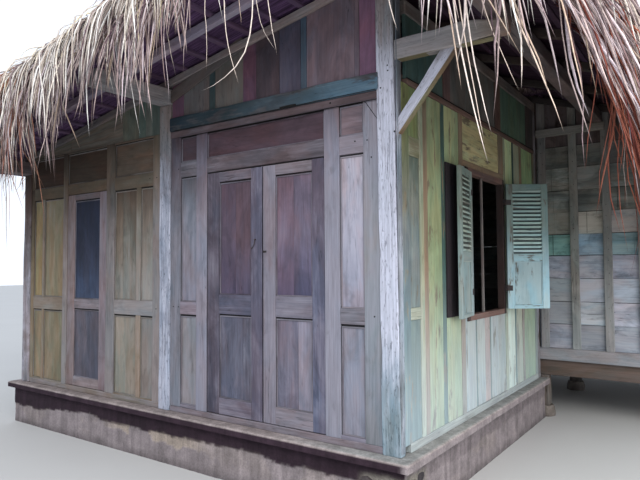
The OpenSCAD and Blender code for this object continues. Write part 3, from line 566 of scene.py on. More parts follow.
# ---------------------------------------------------------------- gable boards
ztop = lambda x, y: np.minimum(zl(x), zr(x)) - 0.003
B = Build("gable_boards_planks", slot="dark_boards", replaces=["gable_boards"], mat=W_DULL)
GD = [(-2.320, -2.165, lin(95, 68, 84), 0.1), (-2.165, -1.839, lin(92, 88, 86), 0.22), (-1.839, -1.768, lin(56, 72, 76), 0.1),
      (-1.768, -1.441, lin(97, 94, 90), 0.25), (-1.441, -1.295, lin(92, 66, 80), 0.12), (-1.295, -1.05, lin(68, 60, 66), 0.12),
      (-1.05, -0.838, lin(72, 69, 83), 0.15), (-0.838, -0.780, lin(64, 76, 88), 0.12), (-0.780, -0.308, lin(109, 97, 104), 0.22),
      (-0.308, -0.146, lin(124, 88, 108), 0.08)]
for x0, x1, c, w in GD:
    y = 0.020 + rng.uniform(0, 0.004)
    segs = [x0, x1] if not (x0 < RX < x1) else [x0, RX, x1]
    for a, b in zip(segs[:-1], segs[1:]):
        B.plank((a + (0.0015 if a == x0 else 0), y, 2.640), (b - (0.0015 if b == x1 else 0), 0.050, 4.0), 2, c, w, 0.002, 0.0004, segs=4, top=ztop)
# plank that lies on the boards along the slope
ang = math.atan2(3.108 - 2.792, -1.409 + 2.318)
M = Matrix.Translation((-2.316, 0, 2.792 - 0.006)) @ Matrix.Rotation(-ang, 4, "Y")
B.plank((0.0, 0.004, 0.0), (0.96, 0.019, 0.11), 0, lin(92, 84, 80), 0.35, 0.003, 0.001, M=M, top=lambda x, z: 9)
# left bay: a wide board and upright ones beside the middle post
LB = [(-4.713, -3.95), (-3.95, -3.05), (-3.05, -2.80), (-2.80, -2.70), (-2.70, -2.60), (-2.60, -2.467)]
for i, (x0, x1) in enumerate(LB):
    c = [lin(104, 98, 88), lin(108, 102, 92), lin(100, 104, 92), lin(86, 102, 96), lin(98, 106, 100), lin(84, 100, 94)][i]
    B.plank((x0 + 0.001, 0.020 + rng.uniform(0, 0.003), 2.5245), (x1 - 0.001, 0.050, 4.0), 2 if i > 1 else 0, c, 0.12, 0.002, 0.0004, segs=4, top=ztop)
B.make()

# ---------------------------------------------------------------- doors
def door(name, body, x0, x1, z1, stiles, rails, panels, hinge_left):
    B = Build(name + "_leaf", body=body, slot="door_panels" if name != "side_door" else "blue_door", replaces=[name], mat=W_PANEL)
    ya, yb = 0.018, 0.060
    for a, b, c, w in stiles:
        B.plank((a, ya, 0.056), (b, yb, z1), 2, c, w, 0.003, 0.0006)
        # painted light: the right leaf's outer stile is paler and bluer low down, where light from the open sky falls
        if name == "main_door_right" and a > -1.0:
            B.shade([(0.06, c * (1.22, 1.5, 1.6), 0.4), (1.0, c * (1.2, 1.44, 1.5), 0.35), (1.4, c * (1.05, 1.12, 1.15), 0.3), (2.1, c, w)])
    for a, b, za, zb_, c, w in rails:
        B.plank((a, ya, za), (b, yb, zb_), 0, c, w, 0.003, 0.0005)
    for a, b, za, zb_, tints, splits, bd, w, grad in panels:
        panel(B, a, b, za, zb_, ya, yb, tints, rec=0.012, splits=splits, beads=bd, wx=w, grad=grad)
    # the joint along the leaf's head and left side: a near black strip, the gap with its shadow painted in
    if name != "side_door":
        B.plank((x0 + 0.0002, ya - 0.0006, z1 - 0.006), (x1 - 0.0002, ya + 0.001, z1), 0, INK, 0, 0.0004, 0)
        B.plank((x0, ya - 0.0006, 0.056), (x0 + 0.004, ya + 0.001, z1), 2, INK, 0, 0.0004, 0)
    hx = x0 if hinge_left else x1
    s = 1 if hinge_left else -1
    B.use(IRON)
    for z in (0.260, 1.010, 1.740):
        B.rod((hx, 0.077, z), (hx, 0.077, z + 0.080), 0.008, lin(60, 50, 46), sides=16)
        B.plank((min(hx, hx + s * 0.054), 0.0605, z + 0.002), (max(hx, hx + s * 0.054), 0.0685, z + 0.078), 2, lin(60, 50, 46), 0, 0.001, 0)
        B.plank((min(hx, hx + s * 0.008), 0.066, z + 0.004), (max(hx, hx + s * 0.008), 0.078, z + 0.076), 2, lin(60, 50, 46), 0, 0.001, 0)
        for k in (0.02, 0.06):
            B.rod((hx + s * 0.036, 0.068, z + k), (hx + s * 0.036, 0.0695, z + k), 0.004, lin(60, 50, 46), sides=8, dome=0.0015)
    return B


cA, cB = lin(104, 84, 88), lin(98, 80, 92)
B = door("main_door_left", "main_door_left", -1.852, -1.234, 2.094,
         [(-1.852, -1.711, lin(75, 71, 84), 0.28), (-1.350, -1.234, lin(86, 84, 99), 0.35)],
         [(-1.711, -1.350, 0.056, 0.190, lin(98, 92, 102), 0.4), (-1.711, -1.350, 0.888, 1.050, lin(86, 85, 100), 0.35), (-1.711, -1.350, 2.006, 2.094, lin(98, 90, 98), 0.35)],
         [(-1.711, -1.350, 1.050, 2.006, [lin(90, 73, 85), lin(94, 76, 86)], [-1.53], lin(88, 78, 90), 0.1,
            [(1.05, (0.66, 0.82, 1.0), 0.02), (1.3, (0.82, 0.96, 1.06), 0.15), (1.6, (1.0, 1.02, 1.0), 0.2), (1.85, (0.92, 0.96, 0.98), 0.12), (2.0, (0.68, 0.74, 0.76), 0.03)]),
          (-1.711, -1.350, 0.190, 0.888, [lin(87, 86, 99), lin(81, 80, 92)], [-1.45], lin(96, 90, 98), 0.25,
            [(0.19, (0.95, 0.98, 1.02), 0.25), (0.5, (1.05, 1.05, 1.04), 0.35), (0.88, (1.0, 0.98, 0.98), 0.25)])], True)
# hook and staple on the meeting stile
B.rod((-1.300, 0.018, 1.500), (-1.300, 0.004, 1.500), 0.006, lin(60, 50, 46), sides=10, dome=0.003)
for p_, q_ in (((-1.300, 1.500), (-1.306, 1.468)), ((-1.306, 1.468), (-1.322, 1.440)), ((-1.322, 1.440), (-1.336, 1.428)), ((-1.336, 1.428), (-1.340, 1.440))):
    B.rod((p_[0], 0.0085, p_[1]), (q_[0], 0.0085, q_[1]), 0.003, lin(60, 50, 46), sides=8)
B.make()
B = door("main_door_right", "main_door_right", -1.222, -0.623, 2.094,
         [(-1.222, -1.095, lin(121, 114, 123), 0.5), (-0.736, -0.623, lin(84, 78, 92), 0.25)],
         [(-1.095, -0.736, 0.056, 0.190, lin(122, 114, 122), 0.4), (-1.095, -0.736, 0.888, 1.050, lin(102, 98, 110), 0.45), (-1.095, -0.736, 2.006, 2.094, lin(108, 98, 102), 0.4)],
         [(-1.095, -0.736, 1.050, 2.006, [lin(106, 86, 97), lin(102, 87, 99)], [-0.92], lin(96, 84, 94), 0.1,
            [(1.05, (0.5, 0.66, 0.88), 0.0), (1.24, (0.68, 0.95, 1.22), 0.05), (1.5, (1.0, 1.12, 1.16), 0.25), (1.85, (1.2, 1.28, 1.3), 0.25), (2.0, (0.9, 0.92, 0.94), 0.08)]),
          (-1.095, -0.736, 0.190, 0.888, [lin(104, 99, 111), lin(124, 120, 131)], [-0.88], lin(104, 96, 102), 0.25,
            [(0.19, (1.0, 1.0, 1.02), 0.25), (0.5, (1.04, 1.04, 1.04), 0.3), (0.88, (0.95, 0.93, 0.95), 0.2)])], False)
# latch plate beside the joint
B.rod((-1.205, 0.018, 1.402), (-1.205, 0.008, 1.402), 0.004, lin(74, 66, 66), sides=10, dome=0.003)
B.plank((-1.216, 0.0145, 1.394), (-1.184, 0.0178, 1.410), 0, lin(74, 66, 66), 0, 0.001, 0)
B.make()
B = door("side_door", "side_door", -3.983, -3.300, 2.061,
         [(-3.983, -3.856, lin(124, 107, 103), 0.35), (-3.413, -3.300, lin(125, 109, 112), 0.4)],
         [(-3.856, -3.413, 0.056, 0.150, lin(124, 115, 118), 0.35), (-3.856, -3.413, 0.860, 0.960, lin(126, 118, 120), 0.4), (-3.856, -3.413, 2.000, 2.061, lin(108, 97, 98), 0.3)],
         [(-3.856, -3.413, 0.960, 2.000, [lin(50, 54, 70)], None, lin(44, 44, 54), 0.02,
            [(0.96, (1.35, 1.55, 1.6), 0.08), (1.3, (0.9, 1.0, 1.1), 0.02), (1.6, (0.5, 0.6, 0.72), 0.0), (2.0, (0.45, 0.52, 0.62), 0.0)]),
          (-3.856, -3.413, 0.150, 0.860, [lin(84, 82, 91), lin(80, 78, 88)], [-3.63], lin(92, 84, 88), 0.15,
            [(0.15, (0.9, 0.92, 0.95), 0.15), (0.86, (1.0, 1.0, 1.0), 0.1)])], True)
B.make()
# ---------------------------------------------------------------- posts
P = Build("posts_timber", slot="post_timber", replaces=["posts"], mat=W_POST)
PALE = lin(166, 168, 182)


def post(x0, x1, y0, y1, z0, z1, tint, wx, chip=0.006, segs=None):
    P.plank((x0, y0, z0), (x1, y1, z1), 2, tint, wx, 0.006, 0.0016, segs=segs or max(3, int((z1 - z0) / 0.22)), chip=chip, vary=0.02)


# painted shade: the front posts darken and turn browner towards the top, under the roof; the corner post is also darker
# and bluer towards its foot
post(HX0, HX0 + 0.146, 0, 0.146, 0, 2.36, lin(132, 123, 120), 0.35)
P.shade([(0, lin(132, 126, 128), 0.4), (1.4, lin(124, 114, 114), 0.35), (1.9, lin(96, 80, 74), 0.2), (2.36, lin(60, 46, 40), 0.05)])
post(-2.466, -2.320, 0, 0.146, 0, 2.775, lin(116, 126, 142), 0.5)
fade = np.interp(P.v[-1][:, 2], [0.3, 1.2, 1.6, 2.0, 2.5], [0.53, 0.56, 0.55, 0.57, 0.05])
warm = np.interp(P.v[-1][:, 2], [1.9, 2.45], [0.0, 1.0])[:, None]
P.t[-1] = np.concatenate([P.t[-1][:, :3] * (1 - warm) + lin(120, 114, 112) * warm, fade[:, None]], 1)
post(-0.146, 0, 0, 0.066, 0, 3.178, PALE, 0.95, chip=0.008)
P.shade([(0, lin(112, 130, 138), 0.22), (0.36, lin(114, 132, 140), 0.28), (0.62, lin(130, 148, 160), 0.56), (0.85, lin(142, 156, 172), 0.8), (1.1, lin(140, 151, 167), 0.82), (1.4, lin(146, 154, 170), 0.86), (1.75, lin(158, 164, 178), 0.92), (2.5, PALE, 0.95), (2.72, lin(156, 154, 156), 0.65), (2.95, lin(134, 130, 130), 0.3), (3.18, lin(124, 120, 120), 0.2)])
v_ = P.v[-1]
v_[:, 0] -= 0.016 * v_[:, 2] / 3.0 + np.where(v_[:, 0] > -0.07, 0.012 * v_[:, 2] / 3.0, 0)
# its flank is painted dark, darkest at the top: painted shade on the side face
P.plank((-0.004, 0.006, 0.02), (0.0012, 0.064, 3.17), 2, lin(84, 92, 98), 0.12, 0.0006, 0.0)
v_ = P.v[-1]
v_[:, 0] -= 0.004 * v_[:, 2] / 3.0 - 0.0006
P.shade([(0, lin(104, 118, 124), 0.4), (0.5, lin(116, 128, 134), 0.4), (1.0, lin(128, 138, 146), 0.45), (1.7, lin(122, 132, 140), 0.4), (2.4, lin(112, 120, 128), 0.3), (3.1, lin(92, 98, 106), 0.15)])
post(-0.140, -0.034, 0.0665, 0.146, 0, 3.176, lin(110, 106, 104), 0.3)
post(HX0, HX0 + 0.146, RD - 0.105, RD, 0, 2.36, lin(120, 112, 106), 0.35)
post(-2.466, -2.320, RD - 0.105, RD, 0, 2.775, lin(110, 98, 90), 0.25)
post(-0.105, 0, RD - 0.105, RD, 0, 3.07, lin(112, 104, 98), 0.35)
HP = [HX0 + 0.12, -2.393, 0, HX1 / 2, HX1 - 0.12]
ROW = [RD + 0.13, YM, YB - 0.13]
P.use(W_DARK)
for x in HP:
    for y in (ROW[0], ROW[2]):
        post(x - 0.06, x + 0.06, y - 0.07, y + 0.07, 0.2, 3.184, lin(110, 98, 88), 0.3, 0.003)
    post(x - 0.05, x + 0.05, YM - 0.05, YM + 0.05, 3.304, zf(YM - 0.06) - 0.122, lin(96, 84, 76), 0.2, 0.002)
P.use(W_POST)
# dowels and old bolt holes in the corner post
for x, z in ((-0.069, 2.668), (-0.066, 2.631), (-0.02, 2.20), (-0.125, 2.52)):
    nail(P, x, z, 0.0, 0.0065)
for y, z in ((0.06, 2.31), (0.09, 1.46)):
    nail(P, y, z, 0.0, 0.006, axis=0, sign=1)
P.make()


# ---------------------------------------------------------------- side walls of the front room
def side_wall(node, X, s, top, slot_name, tints):
    """X is the wall's outer plane, s its outward direction. Boards are set back 16 mm and stiles 4 mm."""
    def span(d0, d1):
        a, b = X - s * d0, X - s * d1
        return (min(a, b), max(a, b))
    B = Build(node + "_boards", slot=slot_name, replaces=[node], mat=W_PAINT)
    bx0, bx1 = span(0.004, 0.044)
    sx0, sx1 = span(-0.004, 0.056)

    def brd(y0, y1, z0, z1, c, w=0.25, ax=2, vary=0.03):
        j = rng.uniform(0, 0.002)
        B.plank((bx0 + (0 if s < 0 else -0.0) + 0, y0 + 0.0012, z0), (bx1 - (j if s > 0 else 0), y1 - 0.0012, z1), ax, c, w, 0.0025, 0.0004, vary=vary)

    def stile(y0, y1, z0, z1, c, w=0.3, ax=2):
        B.plank((sx0, y0, z0), (sx1, y1, z1), ax, c, w, 0.0035, 0.0008, vary=0.03)

    T = tints
    W0, W1, WZ0, WZ1 = 1.236, 2.240, 0.810, 2.128
    # panel bay beside the corner post
    e0, e1 = span(-0.0025, 0.020)
    c0 = 0.067 if s > 0 else 0.147
    # painted shade: the olive board, the grey boards and the stile beside the corner post are darker under the roof,
    # from about 2 m up; lower down they are also darker and bluer at the foot
    B.plank((e0, c0, 0.06), (e1, 0.170, top), 2, T["olive"], 0.25, 0.003, 0.0006, vary=0.02, segs=7)
    B.shade([(0.06, lin(78, 98, 100), 0.1), (0.35, lin(78, 102, 102), 0.1), (0.9, lin(86, 102, 104), 0.15), (1.25, lin(102, 114, 118), 0.26), (1.55, lin(108, 118, 122), 0.3), (2.0, T["light"] * (0.52, 0.52, 0.46), 0.25), (2.3, T["olive"] * 0.68, 0.25), (2.6, T["olive"] * 0.7, 0.15)])
    B.plank((e1 - 0.002 if s < 0 else e1 + 0.0003, 0.100, top - 0.11), ((e1 + 0.0008), 0.106, top - 0.03), 2, INK, 0, 0.0004, 0)
    stile(0.336, 0.358, 0.06, top, T["light"], 0.5)
    stile(0.170, 0.336, 2.060, 2.200, T["light"] * (0.60, 0.60, 0.55), 0.35, 1)
    stile(0.170, 0.336, 0.900, 0.985, T["light"], 0.45, 1)
    brd(0.170, 0.336, 0.060, 0.900, T["grey"], 0.3)
    B.shade([(0.06, T["grey"] * (0.46, 0.6, 0.66), 0.15), (0.4, T["grey"] * (0.44, 0.58, 0.6), 0.15), (0.9, T["grey"] * (0.76, 0.9, 0.95), 0.28)])
    brd(0.170, 0.336, 0.985, 2.060, T["grey"], 0.3)
    B.shade([(0.98, T["grey"] * (0.95, 1.0, 1.1), 0.3), (1.4, T["grey"] * (1.12, 1.12, 1.36), 0.3), (1.7, T["grey"] * (1.0, 0.98, 1.05), 0.3), (2.06, T["grey"] * (0.72, 0.74, 0.68), 0.25)])
    brd(0.170, 0.300, 2.200, top, T["olive"] * 0.78, 0.2)
    brd(0.300, 0.336, 2.200, top, T["olive"] * 0.78, 0.3)
    stile(0.358, 0.395, 0.06, top, T["light"], 0.4)
    stile(0.395, 0.467, 0.06, top, T["red"], 0.2)
    brd(0.467, 0.600, 0.06, top, T["yellow"], 0.25)
    brd(0.600, 0.733, 0.06, top, T["yellow2"], 0.25)
    brd(0.733, 0.810, 0.06, top, T["teal"], 0.1)
    # painted light: these yellow boards are painted paler towards the top, to light them under the roof
    brd(0.810, 0.955, 0.06, top, T["yellow"], 0.2)
    B.shade([(0.06, T["yellow"], 0.2), (1.8, T["yellow"], 0.2), (2.25, T["yellow"] * 1.3, 0.2), (top, T["yellow"] * 1.35, 0.2)])
    brd(0.955, 1.100, 0.06, top, T["yellow2"], 0.25)
    B.shade([(0.06, T["yellow2"], 0.25), (1.8, T["yellow2"], 0.25), (2.25, T["yellow2"] * 1.3, 0.25), (top, T["yellow2"] * 1.35, 0.25)])
    stile(1.100, 1.176, 0.06, top, T["red"], 0.15)
    # over the window
    edges = [2.180, 2.262, 2.330, 2.412, 2.490, top] if top > 2.4 else [2.180, 2.262, top]
    for a, b in zip(edges[:-1], edges[1:]):
        brd(1.176, 2.111, a, b, T["over"], 0.2, 1, 0.02)
    stile(1.176, 2.240, 2.128, 2.180, T["red"], 0.15, 1)
    stile(2.111, 2.240, 2.180, top, T["red"], 0.15)
    brd(1.176, 1.236, 0.06, 2.128, T["pale"], 0.4)
    # under the window
    for a, b, c, w in ((1.236, 1.43, "pale", 0.5), (1.43, 1.465, "teal", 0.1), (1.465, 1.66, "pale", 0.45), (1.66, 1.79, "rose", 0.3),
                       (1.79, 1.825, "teal", 0.1), (1.825, 2.03, "pale", 0.5), (2.03, 2.240, "pale2", 0.4)):
        brd(a, b, 0.06, WZ0, T[c], w)
    stile(2.240, 2.300, 0.06, top, T["light"], 0.35)
    # painted light: the boards beyond the window are painted paler, much paler and bluer low down, where light from the
    # open side falls, and the green ones paler towards the top
    brd(2.300, 2.425, 0.06, top, T["yellow"] * 1.45, 0.3)
    B.shade([(0.06, T["yellow"] * (2.5, 2.6, 4.2), 0.5), (0.9, T["yellow"] * (2.2, 2.2, 3.2), 0.4), (1.6, T["yellow"] * 1.55, 0.3), (top, T["yellow"] * 2.3, 0.3)])
    brd(2.425, 2.549, 0.06, top, T["yellow2"] * 1.45, 0.3)
    B.shade([(0.06, T["yellow2"] * (2.5, 2.6, 4.2), 0.5), (0.9, T["yellow2"] * (2.2, 2.2, 3.2), 0.4), (1.6, T["yellow2"] * 1.55, 0.3), (top, T["yellow2"] * 2.3, 0.3)])
    stile(2.549, 2.579, 0.06, top, T["teal"], 0.1)
    brd(2.579, 2.805, 0.06, top, T["light"] * 1.45, 0.45)
    stile(2.805, 2.860, 0.06, top, T["red"], 0.2)
    for a, b in ((2.860, 3.040), (3.040, 3.291)):
        brd(a, b, 0.06, top, T["green"], 0.2)
        B.shade([(0.06, T["green"], 0.2), (1.6, T["green"], 0.2), (top, T["green"] * 1.5, 0.2)])
    stile(3.291, 3.351, 0.06, top, T["edge"], 0.3)
    stile(0.146, 3.351, 0.0, 0.060, T["sill"], 0.4, 1)
    for y, z in ((0.41, 2.45), (0.41, 1.5), (0.41, 0.4), (1.14, 2.4), (2.15, 2.5), (2.15, 2.22), (2.83, 1.9), (0.52, 2.49), (0.66, 2.49), (0.88, 2.49)):
        if z < top:
            nail(B, y, z, X - s * (0.004 if y in (0.41, 1.14, 2.15, 2.83) else 0.016), 0.005, 0, s)
    return B


UP = np.array([0.94, 1.06, 1.12])
# over is painted about 1.4 times paler: painted light on the boards over the window, under the roof
TR = dict(edge=lin(96, 100, 84), light=lin(150, 146, 118) * UP, grey=lin(112, 114, 102) * UP, olive=lin(136, 140, 92) * UP, red=lin(134, 105, 86) * UP * np.array([0.97, 1.06, 1.0]),
          yellow=lin(152, 153, 112) * UP, yellow2=lin(144, 147, 108) * UP, teal=lin(66, 84, 76) * UP, over=lin(166, 151, 108) * UP * np.array([1.34, 1.38, 1.42]), pale=lin(158, 164, 168),
          pale2=lin(145, 151, 147), rose=lin(160, 132, 122), green=lin(132, 144, 102) * UP, sill=lin(112, 104, 92))
side_wall("right_wall", 0.0, 1, 2.562, "olive_boards", TR).make()
TL = {k: v * 0.92 for k, v in TR.items()}
side_wall("left_wall", HX0, -1, 2.360, "olive_boards", TL).make()

B = Build("right_tie_beam_timber", slot="dark_timber", replaces=["right_tie_beam"], mat=W_DARK)
B.plank((-0.070, 0.146, 2.5625), (0.010, RD - 0.105, 2.604), 1, lin(104, 84, 76), 0.2, 0.005, 0.0015, segs=12, chip=0.003)
B.plank((-0.070, 0.146, 2.6045), (-0.031, RD - 0.105, 2.640), 1, lin(96, 80, 74), 0.2, 0.003, 0.001, segs=12)
B.make()
B = Build("right_upper_boards_planks", slot="dark_boards", replaces=["right_upper_boards"], mat=W_DULL)
ys = [0.146, 0.36, 0.58, 0.80, 0.93, 1.30, 1.68, 2.04, 2.19, 2.48, 2.78, 3.08, 3.351]
cs = [lin(70, 92, 88), lin(66, 88, 84), lin(76, 92, 86), lin(104, 92, 88), lin(96, 94, 90), lin(90, 90, 86), lin(102, 98, 94), lin(106, 94, 84), lin(92, 112, 94), lin(88, 108, 90), lin(94, 112, 94), lin(84, 80, 76)]
for (a, b), c in zip(zip(ys[:-1], ys[1:]), cs):
    z0 = 2.6050
    B.plank((-0.0305, a + 0.001, z0), (-0.006 - rng.uniform(0, 0.002), b - 0.001, 3.07), 2, c, 0.1, 0.002, 0.0004, vary=0.03)
for y0, y1, c in ((0.80, 0.93, lin(104, 84, 80)), (2.04, 2.19, lin(100, 80, 72)), (3.08, 3.34, lin(76, 68, 66))):
    B.plank((-0.0058, y0, 2.6050), (0.004, y1, 3.07), 2, c, 0.1, 0.003, 0.0006)
# painted shadow: a near black line where the boards meet the tie beam
B.plank((-0.0062, 0.15, 2.6046), (0.0085, RD - 0.11, 2.6090), 1, INK, 0, 0.0005, 0, segs=10)
B.make()


# ---------------------------------------------------------------- windows
def wmat(ox, oy, oz, deg):
    return Matrix.Translation((ox, oy, oz)) @ Matrix.Rotation(math.radians(deg), 4, "Z")


WW, WH = 1.004, 1.318
WINS = [(wmat(0, 1.236, 0.810, 90), 0), (wmat(HX0, 1.236 + WW, 0.810, -90), 1), (wmat(-3.060, YB, 1.150, 180), 1),
        (wmat(1.400, YB, 1.150, 180), 1), (wmat(HX1, YM - WW / 2, 1.150, 90), 1)]
B = Build("window_frames_timber", slot="dark_timber", replaces=["window_frames"], mat=W_DARK)
FR = lin(112, 88, 80)
for M_, kind in WINS:
    B.plank((0, -0.008, 0), (0.050, 0.058, WH), 2, lin(74, 62, 58), 0.1, 0.003, 0.0006, M=M_)
    B.plank((WW - 0.050, -0.008, 0), (WW, 0.058, WH), 2, lin(66, 54, 52), 0.05, 0.003, 0.0006, M=M_)
    B.plank((0.050, -0.008, 0), (WW - 0.050, 0.058, 0.050), 0, FR * 1.1, 0.3, 0.003, 0.0006, M=M_)
    B.plank((0.050, -0.008, WH - 0.050), (WW - 0.050, 0.058, WH), 0, FR, 0.15, 0.003, 0.0006, M=M_)
    B.plank((0.424, 0.010, 0.050), (0.444, 0.030, WH - 0.050), 2, lin(176, 170, 156), 0.6, 0.002, 0.0006, M=M_)
B.make()


def shutter(B, M_, c, w=0.3):
    W = 0.420
    sb = 0.065
    B.plank((0.008, -0.015, 0.050), (0.008 + sb, 0.015, 1.270), 2, c, w, 0.0025, 0.0004, M=M_, vary=0.02)
    B.plank((W - sb, -0.015, 0.050), (W, 0.015, 1.270), 2, c, w, 0.0025, 0.0004, M=M_, vary=0.02)
    for a, b in ((0.050, 0.080), (0.510, 0.585), (1.210, 1.270)):
        B.plank((0.008 + sb, -0.015, a), (W - sb, 0.015, b), 0, c, w, 0.0025, 0.0004, M=M_, vary=0.02)
    B.plank((0.008 + sb - 0.002, -0.005, 0.078), (W - sb + 0.002, 0.005, 0.512), 2, c * 0.95, w, 0.001, 0.0002, M=M_, vary=0.02)
    for out in (-1, 1):
        y = 0.005 * out
        x0, x1, z0, z1 = 0.008 + sb, W - sb, 0.080, 0.510
        ya, yb = min(y, y + out * 0.006), max(y, y + out * 0.006)
        for lo, hi, ax in (((x0, z0), (x1, z0 + 0.01), 0), ((x0, z1 - 0.01), (x1, z1), 0), ((x0, z0 + 0.01), (x0 + 0.01, z1 - 0.01), 2), ((x1 - 0.01, z0 + 0.01), (x1, z1 - 0.01), 2)):
            B.plank((lo[0], ya, lo[1]), (hi[0], yb, hi[1]), ax, c, w, 0.002, 0, M=M_, vary=0.01)
    for i in range(16):
        z = 0.585 + 0.0195 + 0.0391 * i
        L_ = Matrix.Translation((0.073, 0, z)) @ Matrix.Rotation(math.radians(-50 + rng.normal(0, 1.2)), 4, "X")
        B.plank((-0.001, -0.0215, -0.003), (W - 0.130, 0.0215, 0.003), 0, c * 1.85, w, 0.0015, 0.0003, segs=2, M=M_ @ L_, vary=0.03)
    # painted shade: a dark sheet behind the louvres, seen between the slats
    B.plank((0.074, -0.0012, 0.586), (W - 0.066, 0.0012, 1.209), 2, lin(66, 74, 72), 0.1, 0.0005, 0, M=M_)
    cur = B.cur
    B.use(IRON)
    for z in (0.220, 1.060):
        p, q = M_ @ Vector((0, 0, z)), M_ @ Vector((0, 0, z + 0.060))
        B.rod(p, q, 0.0095, lin(60, 50, 46), sides=14)
        for side in (-1, 1):
            B.plank((0.004, -0.0162 if side < 0 else 0.0150, z + 0.004), (0.058, -0.0150 if side < 0 else 0.0162, z + 0.056), 0, lin(70, 60, 54), 0, 0.0005, 0, M=M_)
    B.cur = cur


B = Build("window_shutters_louvred", slot="shutter_paint", replaces=["window_shutters"], mat=W_SHUT)
SC = lin(138, 159, 160)
# painted light and shade: paler and bluer on the solid lower half, where more light reaches, darker and greener above;
# the near leaf is painted darker, as in shade
NEAR_LEAF_LIGHT_SHADE = ([1.10, 1.05, 0.88, 0.86], [1.00, 0.96, 0.80, 0.77], [0.97, 0.92, 0.68, 0.64])
FAR_LEAF_LIGHT_SHADE = ([1.47, 1.42, 0.84, 0.56], [1.57, 1.50, 0.86, 0.60], [1.68, 1.60, 0.80, 0.54])
for M_, kind in WINS:
    n_sh = len(B.v)
    a, b = (172, 127) if kind == 0 else (168, 168)
    shutter(B, M_ @ Matrix.Translation((0.044, -0.028, 0)) @ Matrix.Rotation(math.radians(-a), 4, "Z"), SC)
    n_mid = len(B.v)
    shutter(B, M_ @ Matrix.Translation((WW - 0.044, -0.028, 0)) @ Matrix.Rotation(math.radians(180 + b), 4, "Z"), SC)
    for q in range(n_sh, len(B.v)):
        z = B.v[q][:, 2] - M_[2][3]
        B.t[q] = B.t[q] * np.stack([np.interp(z, [0.10, 0.50, 0.68, 1.25], k) for k in (NEAR_LEAF_LIGHT_SHADE if q < n_mid else FAR_LEAF_LIGHT_SHADE)] + [np.ones(len(z))], 1)
    B.use(IRON)
    for u in (0.044, WW - 0.044):
        for z in (0.220, 1.060):
            B.plank((u - 0.008, -0.028, z + 0.001), (u + 0.008, -0.0075, z + 0.059), 2, lin(70, 60, 54), 0, 0.001, 0, M=M_)
    B.use(W_SHUT)
B.use(W_DARK)
for a, b in ((0.800, 0.944), (0.944, 1.085), (1.085, 1.225)):
    B.plank((-0.004, a + 0.001, 0.872), (0.0105, b - 0.001, 2.105), 2, lin(40, 35, 40), 0.02, 0.002, 0.0004, vary=0.04)
for z in (1.05, 1.93):
    B.plank((0.0105, 0.805, z), (0.0130, 1.220, z + 0.05), 1, lin(38, 33, 37), 0.02, 0.001, 0.0003)
B.make()

# ---------------------------------------------------------------- walls of the raised house
ZROW = [0.340, 0.615, 0.870, 1.130, 1.390, 1.630, 1.880, 2.129, 2.391, 2.640, 2.850, 3.060, 3.270]
G = lambda v: lin(v - 1, v, v - 6)
B = Build("house_front_wall_boards", slot="grey_boards", replaces=["house_front_wall"], mat=W_BOARD)
studs = [0.018 + 0.337 * k for k in range(11) if 0.018 + 0.337 * k + 0.088 < 3.54]
cuts = [0.0] + [s_ + 0.044 for s_ in studs] + [3.540]
for r in range(9):
    z0, z1 = ZROW[r], ZROW[r + 1]
    for i in range(len(cuts) - 1):
        if r == 4:
            c, w = lin(132 + rng.uniform(-8, 8), 160 + rng.uniform(-6, 8), 166 + rng.uniform(-6, 8)), 0.3
        else:
            # the rows' greys are set paler than the boards' own grey, most in the middle rows: partly painted light in
            # the deep corner under the eave
            v = {8: 118, 7: 142, 6: 136, 5: 176, 3: 166, 2: 184, 1: 172, 0: 160}[r] + rng.normal(0, 10)
            c, w = (G(v) if r > 4 else lin(v - 3, v + 1, v + 12)), 0.3 + rng.uniform(-0.15, 0.2)
        yy = rng.uniform(0, 0.003)
        B.plank((cuts[i] + 0.0004, 3.486 + yy, z0 + 0.0004), (cuts[i + 1] - 0.0004, 3.516, z1 - 0.0004), 0, c, w, 0.004, 0.0008, segs=2, vary=0.05)
        wide = cuts[i + 1] - cuts[i] > 0.25
        if wide and rng.random() < 0.8:                       # an open, uneven joint over the board
            B.plank((cuts[i] + 0.045, 3.4850, z1 - rng.uniform(0.003, 0.006)), (cuts[i + 1] - 0.045, 3.4875, z1 + 0.0015), 0, INK, 0, 0.0004, 0.0008, segs=5)
        if wide and r > 3 and rng.random() < 0.4:             # a butt joint between two lengths
            xj = rng.uniform(cuts[i] + 0.08, cuts[i + 1] - 0.08)
            B.plank((xj, 3.4850, z0 + 0.004), (xj + rng.uniform(0.002, 0.004), 3.4875, z1 - 0.004), 2, INK, 0, 0.0004, 0.0004, segs=3)
        if (r, i) in ((8, 1), (6, 1), (7, 1), (5, 1), (8, 3), (6, 2), (4, 3), (7, 4)) or rng.random() < 0.18:
            B.shade([(cuts[i], c * 0.45, 0.0), ((cuts[i] + cuts[i + 1]) / 2, c * rng.uniform(0.5, 0.9), 0.1), (cuts[i + 1], c, 0.3)][:: 1], 0)
